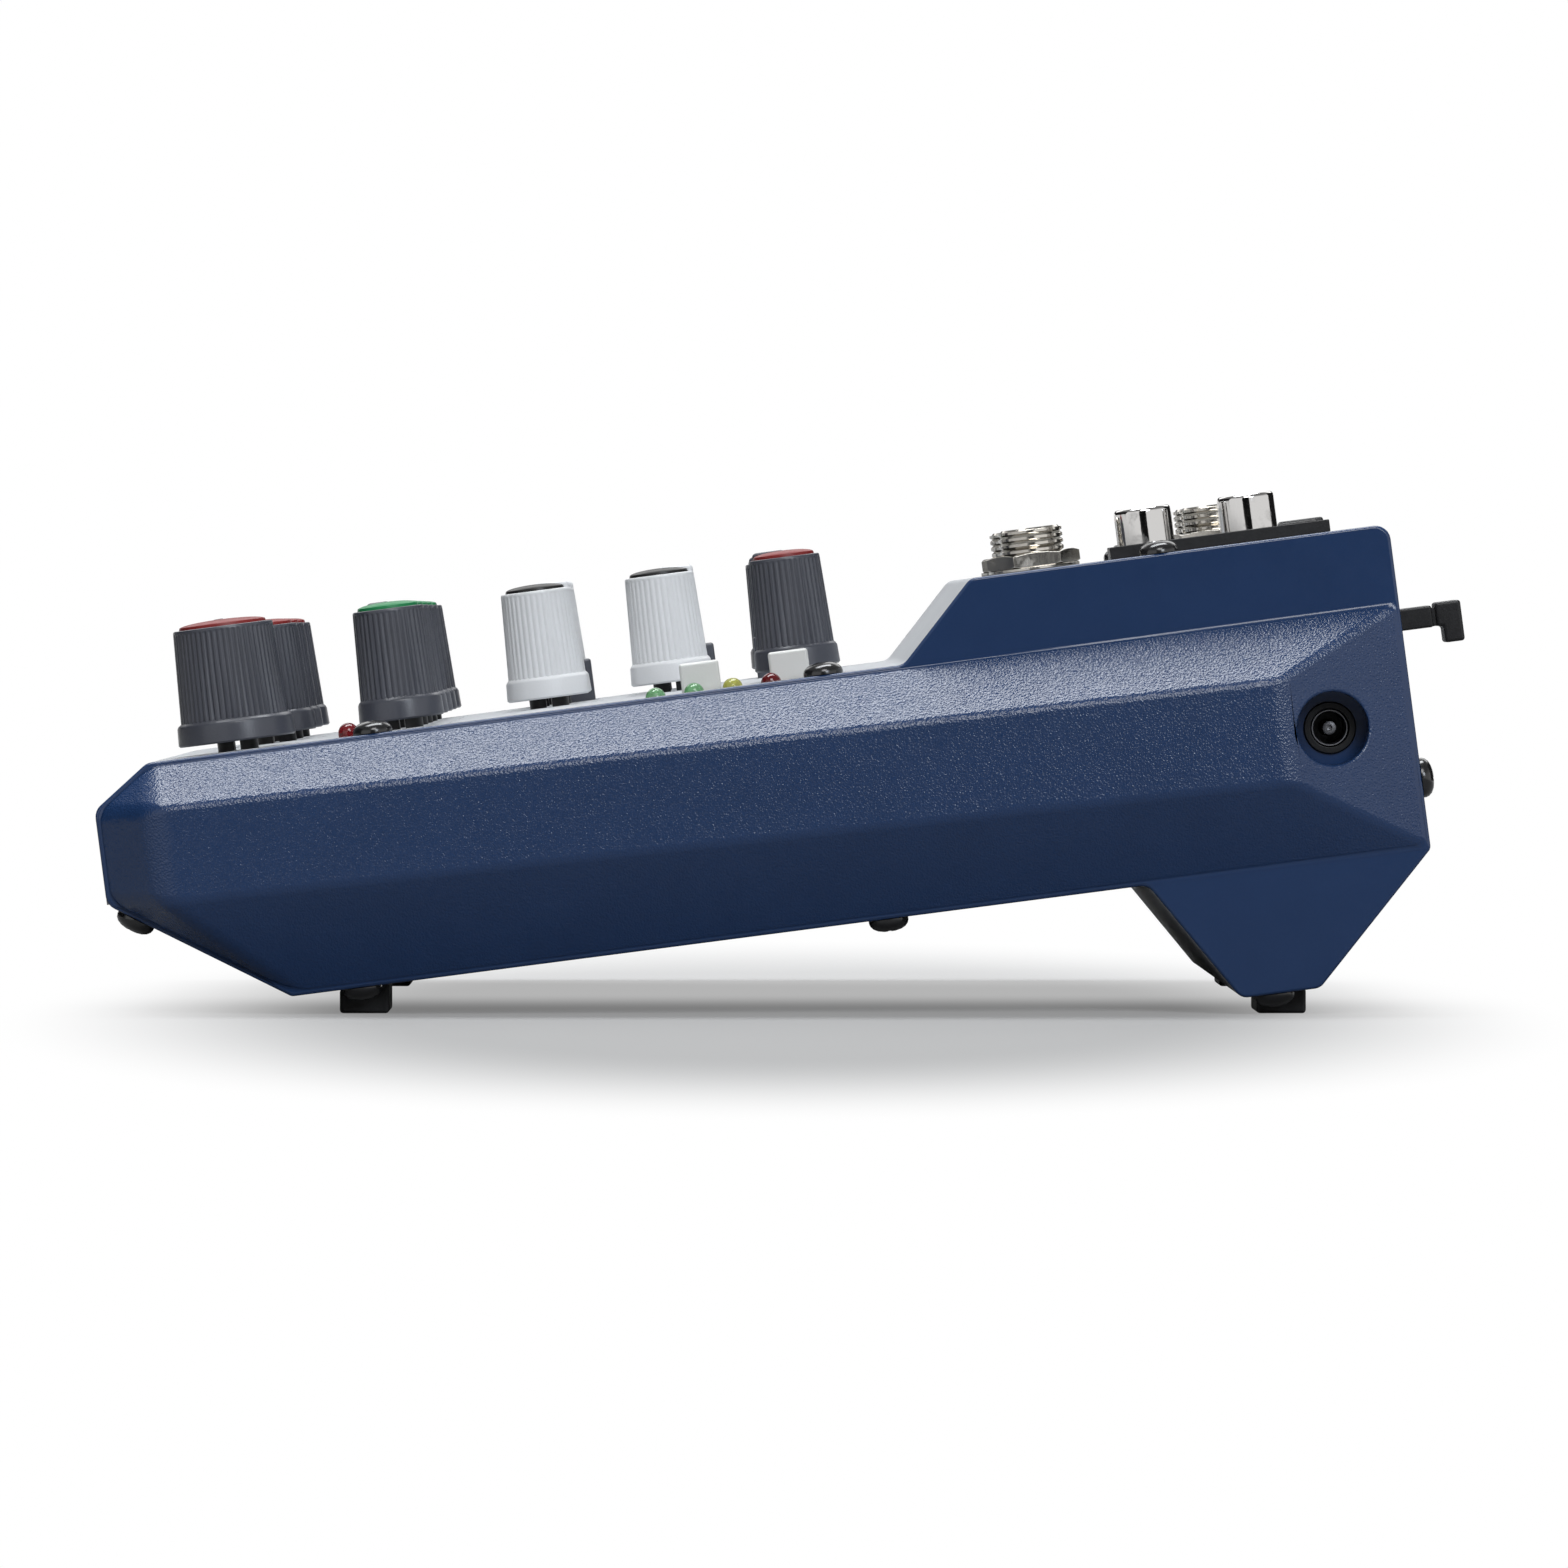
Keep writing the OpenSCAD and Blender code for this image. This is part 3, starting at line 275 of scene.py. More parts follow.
def flat_cable():
    """Grey ribbon insulation, ridged over each pair of wires, with one red edge."""
    grey, red = (0.34, 0.35, 0.37), (0.45, 0.02, 0.02)
    ridge_mm, red_from_mm = 2.54, 11.7
    # A wave texture has 20 radians to each of its units
    scale = math.tau / 20 * MM_PER_M / ridge_mm
    finish = Finish("ribbon_insulation", grey, 0.5)
    ridges = finish.node("ShaderNodeTexWave", {}, {"Vector": finish.place(), "Scale": scale})
    red_edge = finish.part("X").above(red_from_mm / MM_PER_M, 0.1 / MM_PER_M)
    finish.vary(Base_Color=finish.blend(red_edge, grey, red))
    return finish.bump(ridges, 0.25).material


BLUE = cheek_plastic()
COAT = powder_coat()
# The plastics of the knobs, their caps and the buttons, by the slot that each stands for
SATIN = {"height_mm": 0.008, "Specular_IOR_Level": 0.3}
PLASTICS = {
    "knob_dark": moulded("knob_dark_satin", (0.058, 0.062, 0.078), 0.33),
    "knob_light": moulded("knob_light_satin", (0.72, 0.73, 0.74), 0.38, mottle=0.04),
    "cap_red": moulded("cap_red_satin", (0.21, 0.018, 0.018), 0.4, **SATIN),
    "cap_green": moulded("cap_green_satin", (0.012, 0.21, 0.07), 0.4, **SATIN),
    "cap_black": moulded("cap_black_satin", (0.012, 0.012, 0.012), 0.34, **SATIN),
    "button_white": moulded("button_white_satin", (0.70, 0.70, 0.68), 0.32, mottle=0.03),
}
JET = (0.012, 0.012, 0.013)
BLACK = moulded("black_moulded_plastic", JET, 0.36, Specular_IOR_Level=0.3)
GLOSS_BLACK = moulded("screw_black_gloss", JET, 0.2, height_mm=0.002, Coat_Weight=0.2)
RUBBER = moulded("foot_rubber", (0.020, 0.020, 0.021), 0.72, grain_mm=0.6, height_mm=0.05)
INK = moulded("panel_print_ink", (0.020, 0.030, 0.060), 0.5, mottle=0.05)
NICKEL = plated("nickel_plate", (0.56, 0.535, 0.49), 0.15)
# Much darker than the other nickel: painted shade for the contacts deep in the power inlet's recess
RECESS_SHADE_NICKEL = plated("nickel_with_painted_recess_shade", (0.20, 0.20, 0.21), 0.4)
BRIGHT_NICKEL = plated("bright_nickel_plate", (0.62, 0.61, 0.60), 0.07)
MASK = solder_mask()
RIBBON = flat_cable()
LENSES = [
    tinted_lens("lens_red", (0.22, 0.003, 0.008)),
    tinted_lens("lens_green", (0.28, 0.60, 0.30)),
    tinted_lens("lens_yellow", (0.66, 0.66, 0.16)),
]


# ---- Shapes ----


def lathe(profile, closed=False, steps=48):
    """A profile of (radius, height) turned about Z. It ends on the axis, or closes on itself."""
    bm = bmesh.new()
    line = [bm.verts.new((radius, 0, height)) for radius, height in profile]
    for pair in zip(line, line[1:] + line[:1] if closed else line[1:]):
        bm.edges.new(pair)
    bmesh.ops.spin(
        bm, geom=bm.verts[:] + bm.edges[:], axis=(0, 0, 1), cent=(0, 0, 0),
        angle=math.tau, steps=steps, use_merge=True,
    )
    bmesh.ops.remove_doubles(bm, verts=bm.verts, dist=1e-4)
    return outward(bm)


def outward(bm):
    """The mesh with its faces turned outwards."""
    bmesh.ops.recalc_face_normals(bm, faces=bm.faces)
    return bm


def every_edge(edge):
    return True


def stands_out(edge):
    """True for an outer edge, so that corners where a sliding part passes keep their room."""
    return edge.is_convex


def rounded(bm, radius, segments=2, sharp=25, chosen=every_edge):
    """The mesh with the chosen ones of its sharp edges rounded."""
    edges = [
        edge for edge in bm.edges
        if edge.is_manifold and edge.calc_face_angle() > math.radians(sharp) and chosen(edge)
    ]
    bmesh.ops.bevel(
        bm, geom=edges, offset=radius, offset_type="OFFSET", segments=segments,
        profile=0.5, affect="EDGES", clamp_overlap=True, material=-1,
    )
    return bm


def block(low, high, radius=0.0, segments=2):
    """A block between two corners, with its edges rounded."""
    bm = bmesh.new()
    low, high = Vector(low), Vector(high)
    place = Matrix.Translation((low + high) / 2) @ Matrix.Diagonal((*(high - low), 1))
    bmesh.ops.create_cube(bm, size=1, matrix=place)
    return rounded(bm, radius, segments) if radius else bm


def prism(outline, height):
    """An outline of (x, y) points raised by the height."""
    bm = bmesh.new()
    base = bm.faces.new([bm.verts.new((*point, 0)) for point in outline])
    top = bmesh.ops.extrude_face_region(bm, geom=[base], use_keep_orig=True)["geom"]
    raised = [item for item in top if isinstance(item, bmesh.types.BMVert)]
    bmesh.ops.translate(bm, vec=(0, 0, height), verts=raised)
    return outward(bm)


def placed(bm, matrix):
    """The mesh moved by the matrix."""
    bmesh.ops.transform(bm, matrix=matrix, verts=bm.verts)
    return bm


def joined(parts, slots=None):
    """One mesh that holds several, which stay closed shells. slots gives each one's material."""
    bm = bmesh.new()
    for index, part in enumerate(parts):
        if slots:
            for face in part.faces:
                face.material_index = slots[index]
        shell = bpy.data.meshes.new("shell")
        part.to_mesh(shell)
        part.free()
        bm.from_mesh(shell)
        bpy.data.meshes.remove(shell)
    return bm


def stand_in(bm):
    """A passing object for a modifier to work on."""
    mesh = bpy.data.meshes.new("stand_in")
    bm.to_mesh(mesh)
    bm.free()
    obj = bpy.data.objects.new("stand_in", mesh)
    bpy.context.scene.collection.objects.link(obj)
    return obj


def modified(bm, kind, **settings):
    """The mesh as a modifier leaves it."""
    obj = stand_in(bm)
    modifier = obj.modifiers.new("step", kind)
    for name, value in settings.items():
        setattr(modifier, name, value)
    graph = bpy.context.evaluated_depsgraph_get()
    result = bpy.data.meshes.new_from_object(obj.evaluated_get(graph))
    out = bmesh.new()
    out.from_mesh(result)
    bpy.data.meshes.remove(result)
    bpy.data.meshes.remove(obj.data)
    return out


def carved(bm, tool, operation="DIFFERENCE"):
    """A closed mesh cut by another, or cut down to what both hold."""
    cutter = stand_in(tool)
    out = modified(bm, "BOOLEAN", object=cutter, operation=operation, solver="EXACT")
    bpy.data.meshes.remove(cutter.data)
    bmesh.ops.remove_doubles(out, verts=out.verts, dist=1e-4)
    return outward(out)


def cad_shape(node):
    """A merged copy of a CAD node's mesh, in the case's frame, with whole flat faces."""
    bm = bmesh.new()
    bm.from_mesh(frame["nodes"][node].data)
    placed(bm, TO_CASE)
    bmesh.ops.remove_doubles(bm, verts=bm.verts, dist=2e-4)
    bmesh.ops.dissolve_limit(
        bm, angle_limit=math.radians(0.5), use_dissolve_boundaries=False,
        verts=bm.verts, edges=bm.edges, delimit=set(),
    )
    return bm


def piece(bm, name, body, materials, nodes=(), smooth=40):
    """A finished piece: placed in the row's frame, riding on its body."""
    placed(bm, CASE)
    mesh = bpy.data.meshes.new(name)
    bm.to_mesh(mesh)
    bm.free()
    for material in materials if isinstance(materials, list) else [materials]:
        mesh.materials.append(material)
    mesh.shade_smooth()
    mesh.set_sharp_from_angle(angle=math.radians(smooth))
    obj = bpy.data.objects.new(name, mesh)
    bpy.context.scene.collection.objects.link(obj)
    weighted = obj.modifiers.new("even_normals", "WEIGHTED_NORMAL")
    weighted.keep_sharp = True
    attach(obj, body)
    if nodes:
        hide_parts(*nodes)
    return obj


# ---- Knobs ----

# The gap between the panel and a skirt, how deep a cap sits, where the grip's taper starts, and the ridge
KNOB_GAP, CAP_SEAT, TAPER_FOOT, RIDGE_W = 1.4, 0.8, 3.4, 1.4
SHAFT_R, SHAFT_LOW, SHAFT_TOP, SHAFT_SLOT = 3, -10.8, 1.6, 0.9
# Depth of the groove at each of the points that make up one rib
GROOVE = (1.0, 0.55, 0.0, 0.0, 0.0, 0.55)


def grip(rings, ribs, depth):
    """A ribbed grip from rings of (radius, height, share of the groove), closed at both ends."""
    bm = bmesh.new()
    count = ribs * len(GROOVE)
    bmesh.ops.create_circle(bm, cap_ends=False, radius=1, segments=count)
    verts, edges = bm.verts[:], bm.edges[:]
    bmesh.ops.edgeloop_fill(bm, edges=edges)
    for index, (radius, height, share) in enumerate(rings):
        if index:
            grown = bmesh.ops.extrude_edge_only(bm, edges=edges)["geom"]
            verts = [item for item in grown if isinstance(item, bmesh.types.BMVert)]
            edges = [item for item in grown if isinstance(item, bmesh.types.BMEdge)]
        for vert in verts:
            angle = math.atan2(vert.co.y, vert.co.x)
            rib = GROOVE[round(angle / math.tau * count) % len(GROOVE)]
            reach = radius - rib * share * depth
            vert.co = (reach * math.cos(angle), reach * math.sin(angle), height)
    bmesh.ops.edgeloop_fill(bm, edges=edges)
    return outward(bm)


def knob_body(size, groove):
    """Skirt, ribbed grip and pointer ridge. z is 0 at the foot of the skirt."""
    skirt, low, top = size["skirt"] / 2, size["low"] / 2, size["top"] / 2
    height, seat = size["height"], size["cap"] / 2 + 0.1
    skirt_shape = lathe([
        (0, 1.1), (skirt - 1.5, 1.1), (skirt - 1.2, 0), (skirt - 0.25, 0), (skirt, 0.25),
        (skirt - 0.12, 2.7), (skirt - 0.3, 3.05), (low - 0.15, 3.45), (low - 0.45, 3.7), (0, 3.7),
    ])

    def side(z, share):
        """A ring of the tapered side, with that share of the grooves."""
        return low + (top - low) * (z - TAPER_FOOT) / (height - TAPER_FOOT), z, share

    grip_shape = grip([
        side(3.2, 1), side(height - 0.75, 1), side(height - 0.5, 0), side(height - 0.25, 0),
        (top - 0.08, height - 0.07, 0), (top - 0.25, height, 0),
        (seat, height, 0), (seat, height - CAP_SEAT, 0),
    ], size["ribs"], groove)
    ridge = block((-RIDGE_W / 2, -0.3, height - 3), (RIDGE_W / 2, top - 0.02, height + 1.1), 0.7, 5)
    return joined([skirt_shape, grip_shape, ridge])


def knob_cap(size):
    """A shallow dome with a rolled edge, in its seat."""
    radius, rim = size["cap"] / 2, size["height"]
    edge, rise = 0.15, 1.0
    dome = [
        (radius * math.sin(angle), rim + edge + (rise - edge) * math.cos(angle) ** 0.8)
        for angle in (math.radians(step * 8.5) for step in range(10))
    ]
    return lathe([*dome, (radius, rim - 0.1), (radius, rim - CAP_SEAT), (0, rim - CAP_SEAT)])


def knob_shaft():
    """The round shaft under a knob, with a slot in its end that stands across the console."""
    shaft = lathe([(0, SHAFT_LOW), (SHAFT_R, SHAFT_LOW), (SHAFT_R, SHAFT_TOP), (0, SHAFT_TOP)], steps=32)
    return carved(shaft, block((-4, -SHAFT_SLOT / 2, -5), (4, SHAFT_SLOT / 2, 4)))


# Diameters, height and number of ribs of the two sizes
CHANNEL = {"skirt": 12.6, "low": 11.5, "top": 10.5, "height": 16.4, "cap": 9.1, "ribs": 38}
MAIN = {"skirt": 17.3, "low": 15.8, "top": 14.7, "height": 17.0, "cap": 13.0, "ribs": 54}
# Each family of knobs: its size, how far it is turned from straight ahead, how deep its grooves are,
# its grip and its cap
FAMILIES = {
    "level": (CHANNEL, 150, 0.2, "knob_dark", "cap_red"),
    "send": (CHANNEL, 124, 0.2, "knob_dark", "cap_green"),
    "low": (CHANNEL, 0, 0.13, "knob_light", "cap_black"),
    "high": (CHANNEL, 0, 0.13, "knob_light", "cap_black"),
    "gain": (CHANNEL, 150, 0.2, "knob_dark", "cap_red"),
    "main": (MAIN, 100, 0.22, "knob_dark", "cap_red"),
}
KNOBS = [name.removesuffix("_turn") for name in joints if name.endswith("_turn")]

for name in KNOBS:
    size, turn, groove, grip_slot, cap_slot = FAMILIES[name.split("_")[0]]
    x, y, _ = knob_place(name)
    foot = at(x, y, PANEL_H + KNOB_GAP)
    stance = at(x, y, PANEL_H + KNOB_GAP, turn)
    body, cap = placed(knob_body(size, groove), stance), placed(knob_cap(size), stance)
    piece(body, name + "_grip", name, PLASTICS[grip_slot], [name + "_knob"])
    piece(cap, name + "_insert", name, PLASTICS[cap_slot], [name + "_cap"])
    piece(placed(knob_shaft(), foot), name + "_shaft", name, BLACK)

# ---- Buttons and lights ----

BUTTONS = {
    "phones": "button_white", "monitor": "button_white",
    "mute": "knob_dark", "filter": "knob_dark", "boost": "knob_dark",
}
for name, slot in BUTTONS.items():
    key = rounded(cad_shape(name + "_button"), 0.45, 3, chosen=stands_out)
    piece(key, name + "_cap", name + "_key", PLASTICS[slot], [name + "_button"])

LED_X, LED_R, LED_FLANGE_R = HALF_W - 6.6, 1.5, 1.75
LEAD_HALF_W, LEAD_OFFSET, LEAD_FOOT, LEAD_TOP = 0.25, 0.64, 25, 32.4
# Each light: its place behind the front face, its height above the panel and its lens
LIGHTS = [(37.8, 2.0, 0), (82.8, 1.3, 1), (88.45, 1.3, 1), (94.1, 1.3, 2), (99.75, 1.3, 0)]


def led(height):
    """A domed light with a flange under the sheet. z is 0 at the panel's face."""
    turns = [math.radians(step * 11.25) for step in range(9)]
    dome = [(LED_R * math.sin(turn), height - LED_R * (1 - math.cos(turn))) for turn in turns]
    return lathe([*dome, (LED_R, -3), (LED_FLANGE_R, -3), (LED_FLANGE_R, -4), (0, -4)], steps=32)


def lead(x, y):
    """One of the two wires that carry a light."""
    return block(
        (x - LEAD_HALF_W, y - LEAD_HALF_W, LEAD_FOOT), (x + LEAD_HALF_W, y + LEAD_HALF_W, LEAD_TOP), 0.06
    )


leds = [placed(led(height), at(LED_X, y, PANEL_H)) for y, height, _ in LIGHTS]
leads = [lead(LED_X + side * LEAD_OFFSET, y) for y, *_ in LIGHTS for side in (-1, 1)]
piece(
    joined(leds + leads, [lens for *_, lens in LIGHTS] + [3] * len(leads)),
    "indicator_lenses", "case", [*LENSES, NICKEL], ["indicator_leds"],
)

# ---- Case ----

# The front face stands between a bevel at its foot and a slope at its top. The leg is near the rear.
BEVEL_H, BEVEL_D = 16.6, 24.9
FACE_TOP, SLOPE_D = 30.4, 8.4
PANEL_END = 119.1
LEG_H, LEG_ROOT, LEG_FRONT, LEG_REAR = 18, 150.1, 161.4, 173
# Side views, as (y, z): the whole case with its corner radii, the relief on the cheek, and the raised
# band on the relief. Each point of the relief runs to the band's point at the same place in the list.
WALL = [
    (0, BEVEL_H), (0, FACE_TOP), (SLOPE_D, PANEL_H), (PANEL_END, PANEL_H), (RISE_TOP, DECK_H),
    (CASE_D, DECK_H), (CASE_D, 0), (LEG_REAR, -LEG_H), (LEG_FRONT, -LEG_H), (LEG_ROOT, 0), (BEVEL_D, 0),
]
WALL_RADII = [2.4, 2.4, 3.0, 2.2, 2.2, 2.2, 1.2, 2.0, 2.0, 2.2, 1.2]
RELIEF = [
    (0, BEVEL_H), (0, FACE_TOP), (SLOPE_D, PANEL_H), (CASE_D, PANEL_H), (CASE_D, 0), (BEVEL_D, 0),
]
BAND_FRONT, BAND_REAR = 8.4, CASE_D - 19
BAND_LOW, BAND_TOP, BAND_TOP_REAR, BAND_LOW_REAR = 16, 29.6, 27.1, 12.2
BAND = [
    (BAND_FRONT, BAND_LOW), (BAND_FRONT, BAND_TOP), (BAND_FRONT, BAND_TOP),
    (BAND_REAR, BAND_TOP_REAR), (BAND_REAR, BAND_LOW_REAR), (BAND_FRONT, BAND_LOW),
]
LIP_T, RELIEF_H = 0.8, 8
# The wall's rounded edge shows round the relief, whose own edge has a narrow flat land inside it
RIM_R, RIM_W, LAND_W, LAND_H = 0.45, 0.4, 0.3, 0.06
# Creases that lie wholly nearer the front than this are rounded more
FRONT_CREASES = 30
# Turns a side view drawn in (x, y) and raised in z into one that stands on the right-hand side
ON_SIDE = Matrix(((0, 0, 1, 0), (1, 0, 0, 0), (0, 1, 0, 0), (0, 0, 0, 1)))
# The power inlet: its mouth, its recess in the cheek and its collar. It faces right.
INLET_FACE, INLET_Y, INLET_Z, RECESS_R, INLET_COLLAR_R = HALF_W - 4.5, CASE_D - 12.1, 19.2, 5.3, 3.85
FACING_RIGHT = Matrix.Rotation(math.radians(90), 4, "Y")
INLET = Matrix.Translation((INLET_FACE, INLET_Y, INLET_Z)) @ FACING_RIGHT


def case_outline(inset, steps=6):
    """The whole side view with its corners rounded, that much smaller all round."""
    corners = [Vector(corner) for corner in WALL]
    inward = [
        (corners[index - 1] - corner).orthogonal().normalized() for index, corner in enumerate(corners)
    ]
    for index, corner in enumerate(corners):
        before, after = inward[index], inward[(index + 1) % len(corners)]
        corners[index] = corner + (before + after) * inset / (1 + before.dot(after))
    outline = []
    for index, corner in enumerate(corners):
        back = (corners[index - 1] - corner).normalized()
        ahead = (corners[(index + 1) % len(corners)] - corner).normalized()
        half, radius = back.angle(ahead) / 2, WALL_RADII[index]
        middle = corner + (back + ahead).normalized() * radius / math.sin(half)
        spoke = corner + back * radius / math.tan(half) - middle
        sweep = spoke.angle_signed(corner + ahead * radius / math.tan(half) - middle)
        for step in range(steps + 1):
            outline.append(middle + Matrix.Rotation(-sweep * step / steps, 2) @ spoke)
    return outline


def wall():
    """The cheek's outer wall, whose edge covers the ends of the sheets."""
    bm = prism(case_outline(0), LIP_T)
    rounded(bm, RIM_R, 3, 60, chosen=lambda edge: all(vert.co.z > LIP_T / 2 for vert in edge.verts))
    return placed(bm, Matrix.Translation((HALF_W - LIP_T, 0, 0)) @ ON_SIDE)


def crease_radius(edge):
    """How softly a crease of the relief is rounded: most round the band's front, not at all at the foot."""
    ends = [vert.co for vert in edge.verts]
    raised = sum(end.z > RELIEF_H / 2 for end in ends)
    front = all(end.x < FRONT_CREASES for end in ends)
    rear = all(end.x > BAND_REAR - 1 for end in ends)
    if raised == 2:
        return 3.0 if front else 1.6 if rear else 0.8
    if raised == 1:
        return 1.8 if front else 0.9
    return 0


def relief():
    """The faceted relief outside the wall: a narrow rim, facets and the raised band."""
    foot = -LIP_T / 2
    bm = placed(prism(RELIEF, LAND_H - foot), Matrix.Translation((0, 0, foot)))
    top = max(bm.faces, key=lambda face: face.calc_center_median().z)
    bmesh.ops.inset_region(bm, faces=[top], thickness=RIM_W + LAND_W, use_even_offset=True)
    raised = bmesh.ops.extrude_face_region(bm, geom=[top])["geom"]
    bmesh.ops.delete(bm, geom=[top], context="FACES_ONLY")
    for vert in (item for item in raised if isinstance(item, bmesh.types.BMVert)):
        away = [(Vector(corner) - vert.co.xy).length for corner in RELIEF]
        vert.co = (*BAND[away.index(min(away))], RELIEF_H)
    bmesh.ops.remove_doubles(bm, verts=bm.verts, dist=1e-3)
    outward(bm)
    softness = bm.edges.layers.float.new("bevel_weight_edge")
    widest = max(crease_radius(edge) for edge in bm.edges)
    for edge in bm.edges:
        edge[softness] = crease_radius(edge) / widest
    bm = modified(bm, "BEVEL", width=widest, segments=4, limit_method="WEIGHT", use_clamp_overlap=True)
    within = placed(prism(case_outline(RIM_W), 2 * RELIEF_H), Matrix.Translation((0, 0, -RELIEF_H)))
    bm = carved(bm, within, "INTERSECT")
    return placed(bm, Matrix.Translation((HALF_W, 0, 0)) @ ON_SIDE)


def recess():
    """What the power inlet's recess takes out of the right cheek."""
    low, high = -1, 2 * RELIEF_H
    return placed(lathe([(0, low), (RECESS_R, low), (RECESS_R, high), (0, high)], steps=64), INLET)


def on_recess_rim(edge):
    """True where the recess breaks the outside of the relief."""
    reach = [math.hypot(vert.co.y - INLET_Y, vert.co.z - INLET_Z) for vert in edge.verts]
    return all(abs(far - RECESS_R) < 0.02 for far in reach) and edge.verts[0].co.x > HALF_W + 0.5


def inner_plate(node):
    """The CAD cheek's plate, lugs and tube, cut off inside its outer wall."""
    bm = cad_shape(node)
    side = 1 if node.endswith("right") else -1
    cut = bmesh.ops.bisect_plane(
        bm, geom=bm.verts[:] + bm.edges[:] + bm.faces[:], dist=1e-4, clear_outer=True,
        plane_co=(side * (HALF_W - LIP_T + 0.1), 0, 0), plane_no=(side, 0, 0),
    )["geom_cut"]
    bmesh.ops.triangle_fill(
        bm, use_beauty=True, use_dissolve=False,
        edges=[item for item in cut if isinstance(item, bmesh.types.BMEdge)],
    )
    return outward(bm)


def recess_floor():
    """The ring at the bottom of the recess, round the inlet's collar."""
    inner, outer, thick = INLET_COLLAR_R, RECESS_R + 0.1, 0.5
    return placed(lathe([(inner, 0), (outer, 0), (outer, thick), (inner, thick)], closed=True), INLET)


def left_cheek():
    """The mirror image of the right cheek, without the power inlet's recess."""
    mirror = Matrix.Scale(-1, 4, (1, 0, 0))
    outside = [outward(placed(part, mirror)) for part in (wall(), relief())]
    return joined([inner_plate("cheek_left"), *outside])


def right_cheek():
    """The cheek with the power inlet's recess in it."""
    facets = rounded(carved(relief(), recess()), 0.45, 4, chosen=on_recess_rim)
    return joined([inner_plate("cheek_right"), carved(wall(), recess()), facets, recess_floor()])


piece(left_cheek(), "moulded_cheek_left", "case", BLUE, ["cheek_left"], 30)
piece(right_cheek(), "moulded_cheek_right", "case", BLUE, ["cheek_right"], 30)

for node, name in (("top_panel", "folded_top"), ("base_pan", "folded_base")):
    piece(rounded(cad_shape(node), 0.12, 2, 50), name, "case", COAT, [node])

piece(rounded(cad_shape("feet"), 0.5, 3), "rubber_feet", "case", RUBBER, ["feet"])

# How far the screws stand inside the case's ends, and half the length, half the width and the foot of
# their crosses
SCREW_INSET, CROSS_HALF_L, CROSS_HALF_W, CROSS_FOOT = 3, 1.25, 0.28, 0.75
# Each screw of one side: y, z, the turn about X that faces it outwards, and the turn of its cross
UNDER_BEVEL = 180 - math.degrees(math.atan2(BEVEL_H, BEVEL_D))
SCREWS = [
    (41.4, PANEL_H, 0, 12), (107.4, PANEL_H, 0, 50), (158, DECK_H, 0, 33), (CASE_D, 10.3, -90, 20),
    (166.4, -LEG_H, 180, 40), (112.2, 0, 180, 5), (35.1, 0, 180, 65), (3.9, 14, UNDER_BEVEL, 25),
]


def screw():
    """A pan head with a cross recess, on a short thread."""
    head = lathe([
        (0, 1.9), (0.9, 1.86), (1.7, 1.68), (2.35, 1.35), (2.75, 0.9), (2.9, 0.45), (2.9, 0.08),
        (2.8, 0), (1.45, 0), (1.45, -5.6), (1.1, -6), (0, -6),
    ], steps=32)
    for x, y in ((CROSS_HALF_L, CROSS_HALF_W), (CROSS_HALF_W, CROSS_HALF_L)):
        head = carved(head, block((-x, -y, CROSS_FOOT), (x, y, 3)))
    return head


screws = []
for side in (-1, 1):
    for y, z, facing, turn in SCREWS:
        outwards = Matrix.Rotation(math.radians(facing), 4, "X")
        place = at(side * (HALF_W - SCREW_INSET), y, z) @ outwards @ at(0, 0, 0, side * turn)
        screws.append(placed(screw(), place))
piece(joined(screws), "pan_head_screws", "case", GLOSS_BLACK, ["case_screws"])

HOOK_X, HOOK_W, HOOK_TOP, HOOK_END = HALF_W - 18, 8, 35.2, CASE_D + 9.7
ARM_LOW, TIP_Y, TIP_T, TIP_LOW = HOOK_TOP - 3.5, CASE_D + 5.9, 2.9, HOOK_TOP - 6


def lead_hook():
    """The power lead's hook: an arm with a turned-down tip, on a plate inside the rear face."""
    left, right = HOOK_X - HOOK_W / 2, HOOK_X + HOOK_W / 2
    side_view = [
        (TIP_Y, ARM_LOW), (HOOK_END - TIP_T, ARM_LOW), (HOOK_END - TIP_T, TIP_LOW),
        (HOOK_END, TIP_LOW), (HOOK_END, HOOK_TOP), (TIP_Y, HOOK_TOP),
    ]
    tip = placed(rounded(prism(side_view, HOOK_W), 0.45, 4), Matrix.Translation((left, 0, 0)) @ ON_SIDE)
    arm = block((left, CASE_D - 2, ARM_LOW), (right, TIP_Y - 0.5, HOOK_TOP - 0.3), 0.35, 3)
    neck = block((left + 0.6, CASE_D, ARM_LOW + 0.1), (right - 0.6, TIP_Y + 1, HOOK_TOP - 0.7))
    plate = block((HOOK_X - 6, CASE_D - 2.6, HOOK_TOP - 5.5), (HOOK_X + 6, CASE_D - 1, HOOK_TOP + 2), 0.3)
    return joined([tip, arm, neck, plate])


piece(lead_hook(), "lead_hook", "case", BLACK, ["cable_hook"])

# ---- Sockets ----

# Each jack: x, y, and how far its nut happens to be turned
JACKS = [(58, 140.3, 34), (8, 140.3, -9), (33, 168.2, 13), (8, 168.2, 0)]
COLLAR_R, PLUG_R, COLLAR_H, BORE_END = 4.75, 3.25, 6.2, -24.8
THREADS, THREAD_FOOT, THREAD_PITCH, THREAD_D = 6, 0.6, 0.94, 0.4
NUT_FOOT, NUT_TOP, NUT_ACROSS_FLATS, NUT_BORE_R = 0.5, 2.5, 12, 4.82
WASHER_R, WASHER_T, WASHER_BORE_R = 6.7, 0.5, 4.85
JACK_HALF_W, JACK_HALF_D, JACK_BORE_R = 6.5, 7.5, 4.5


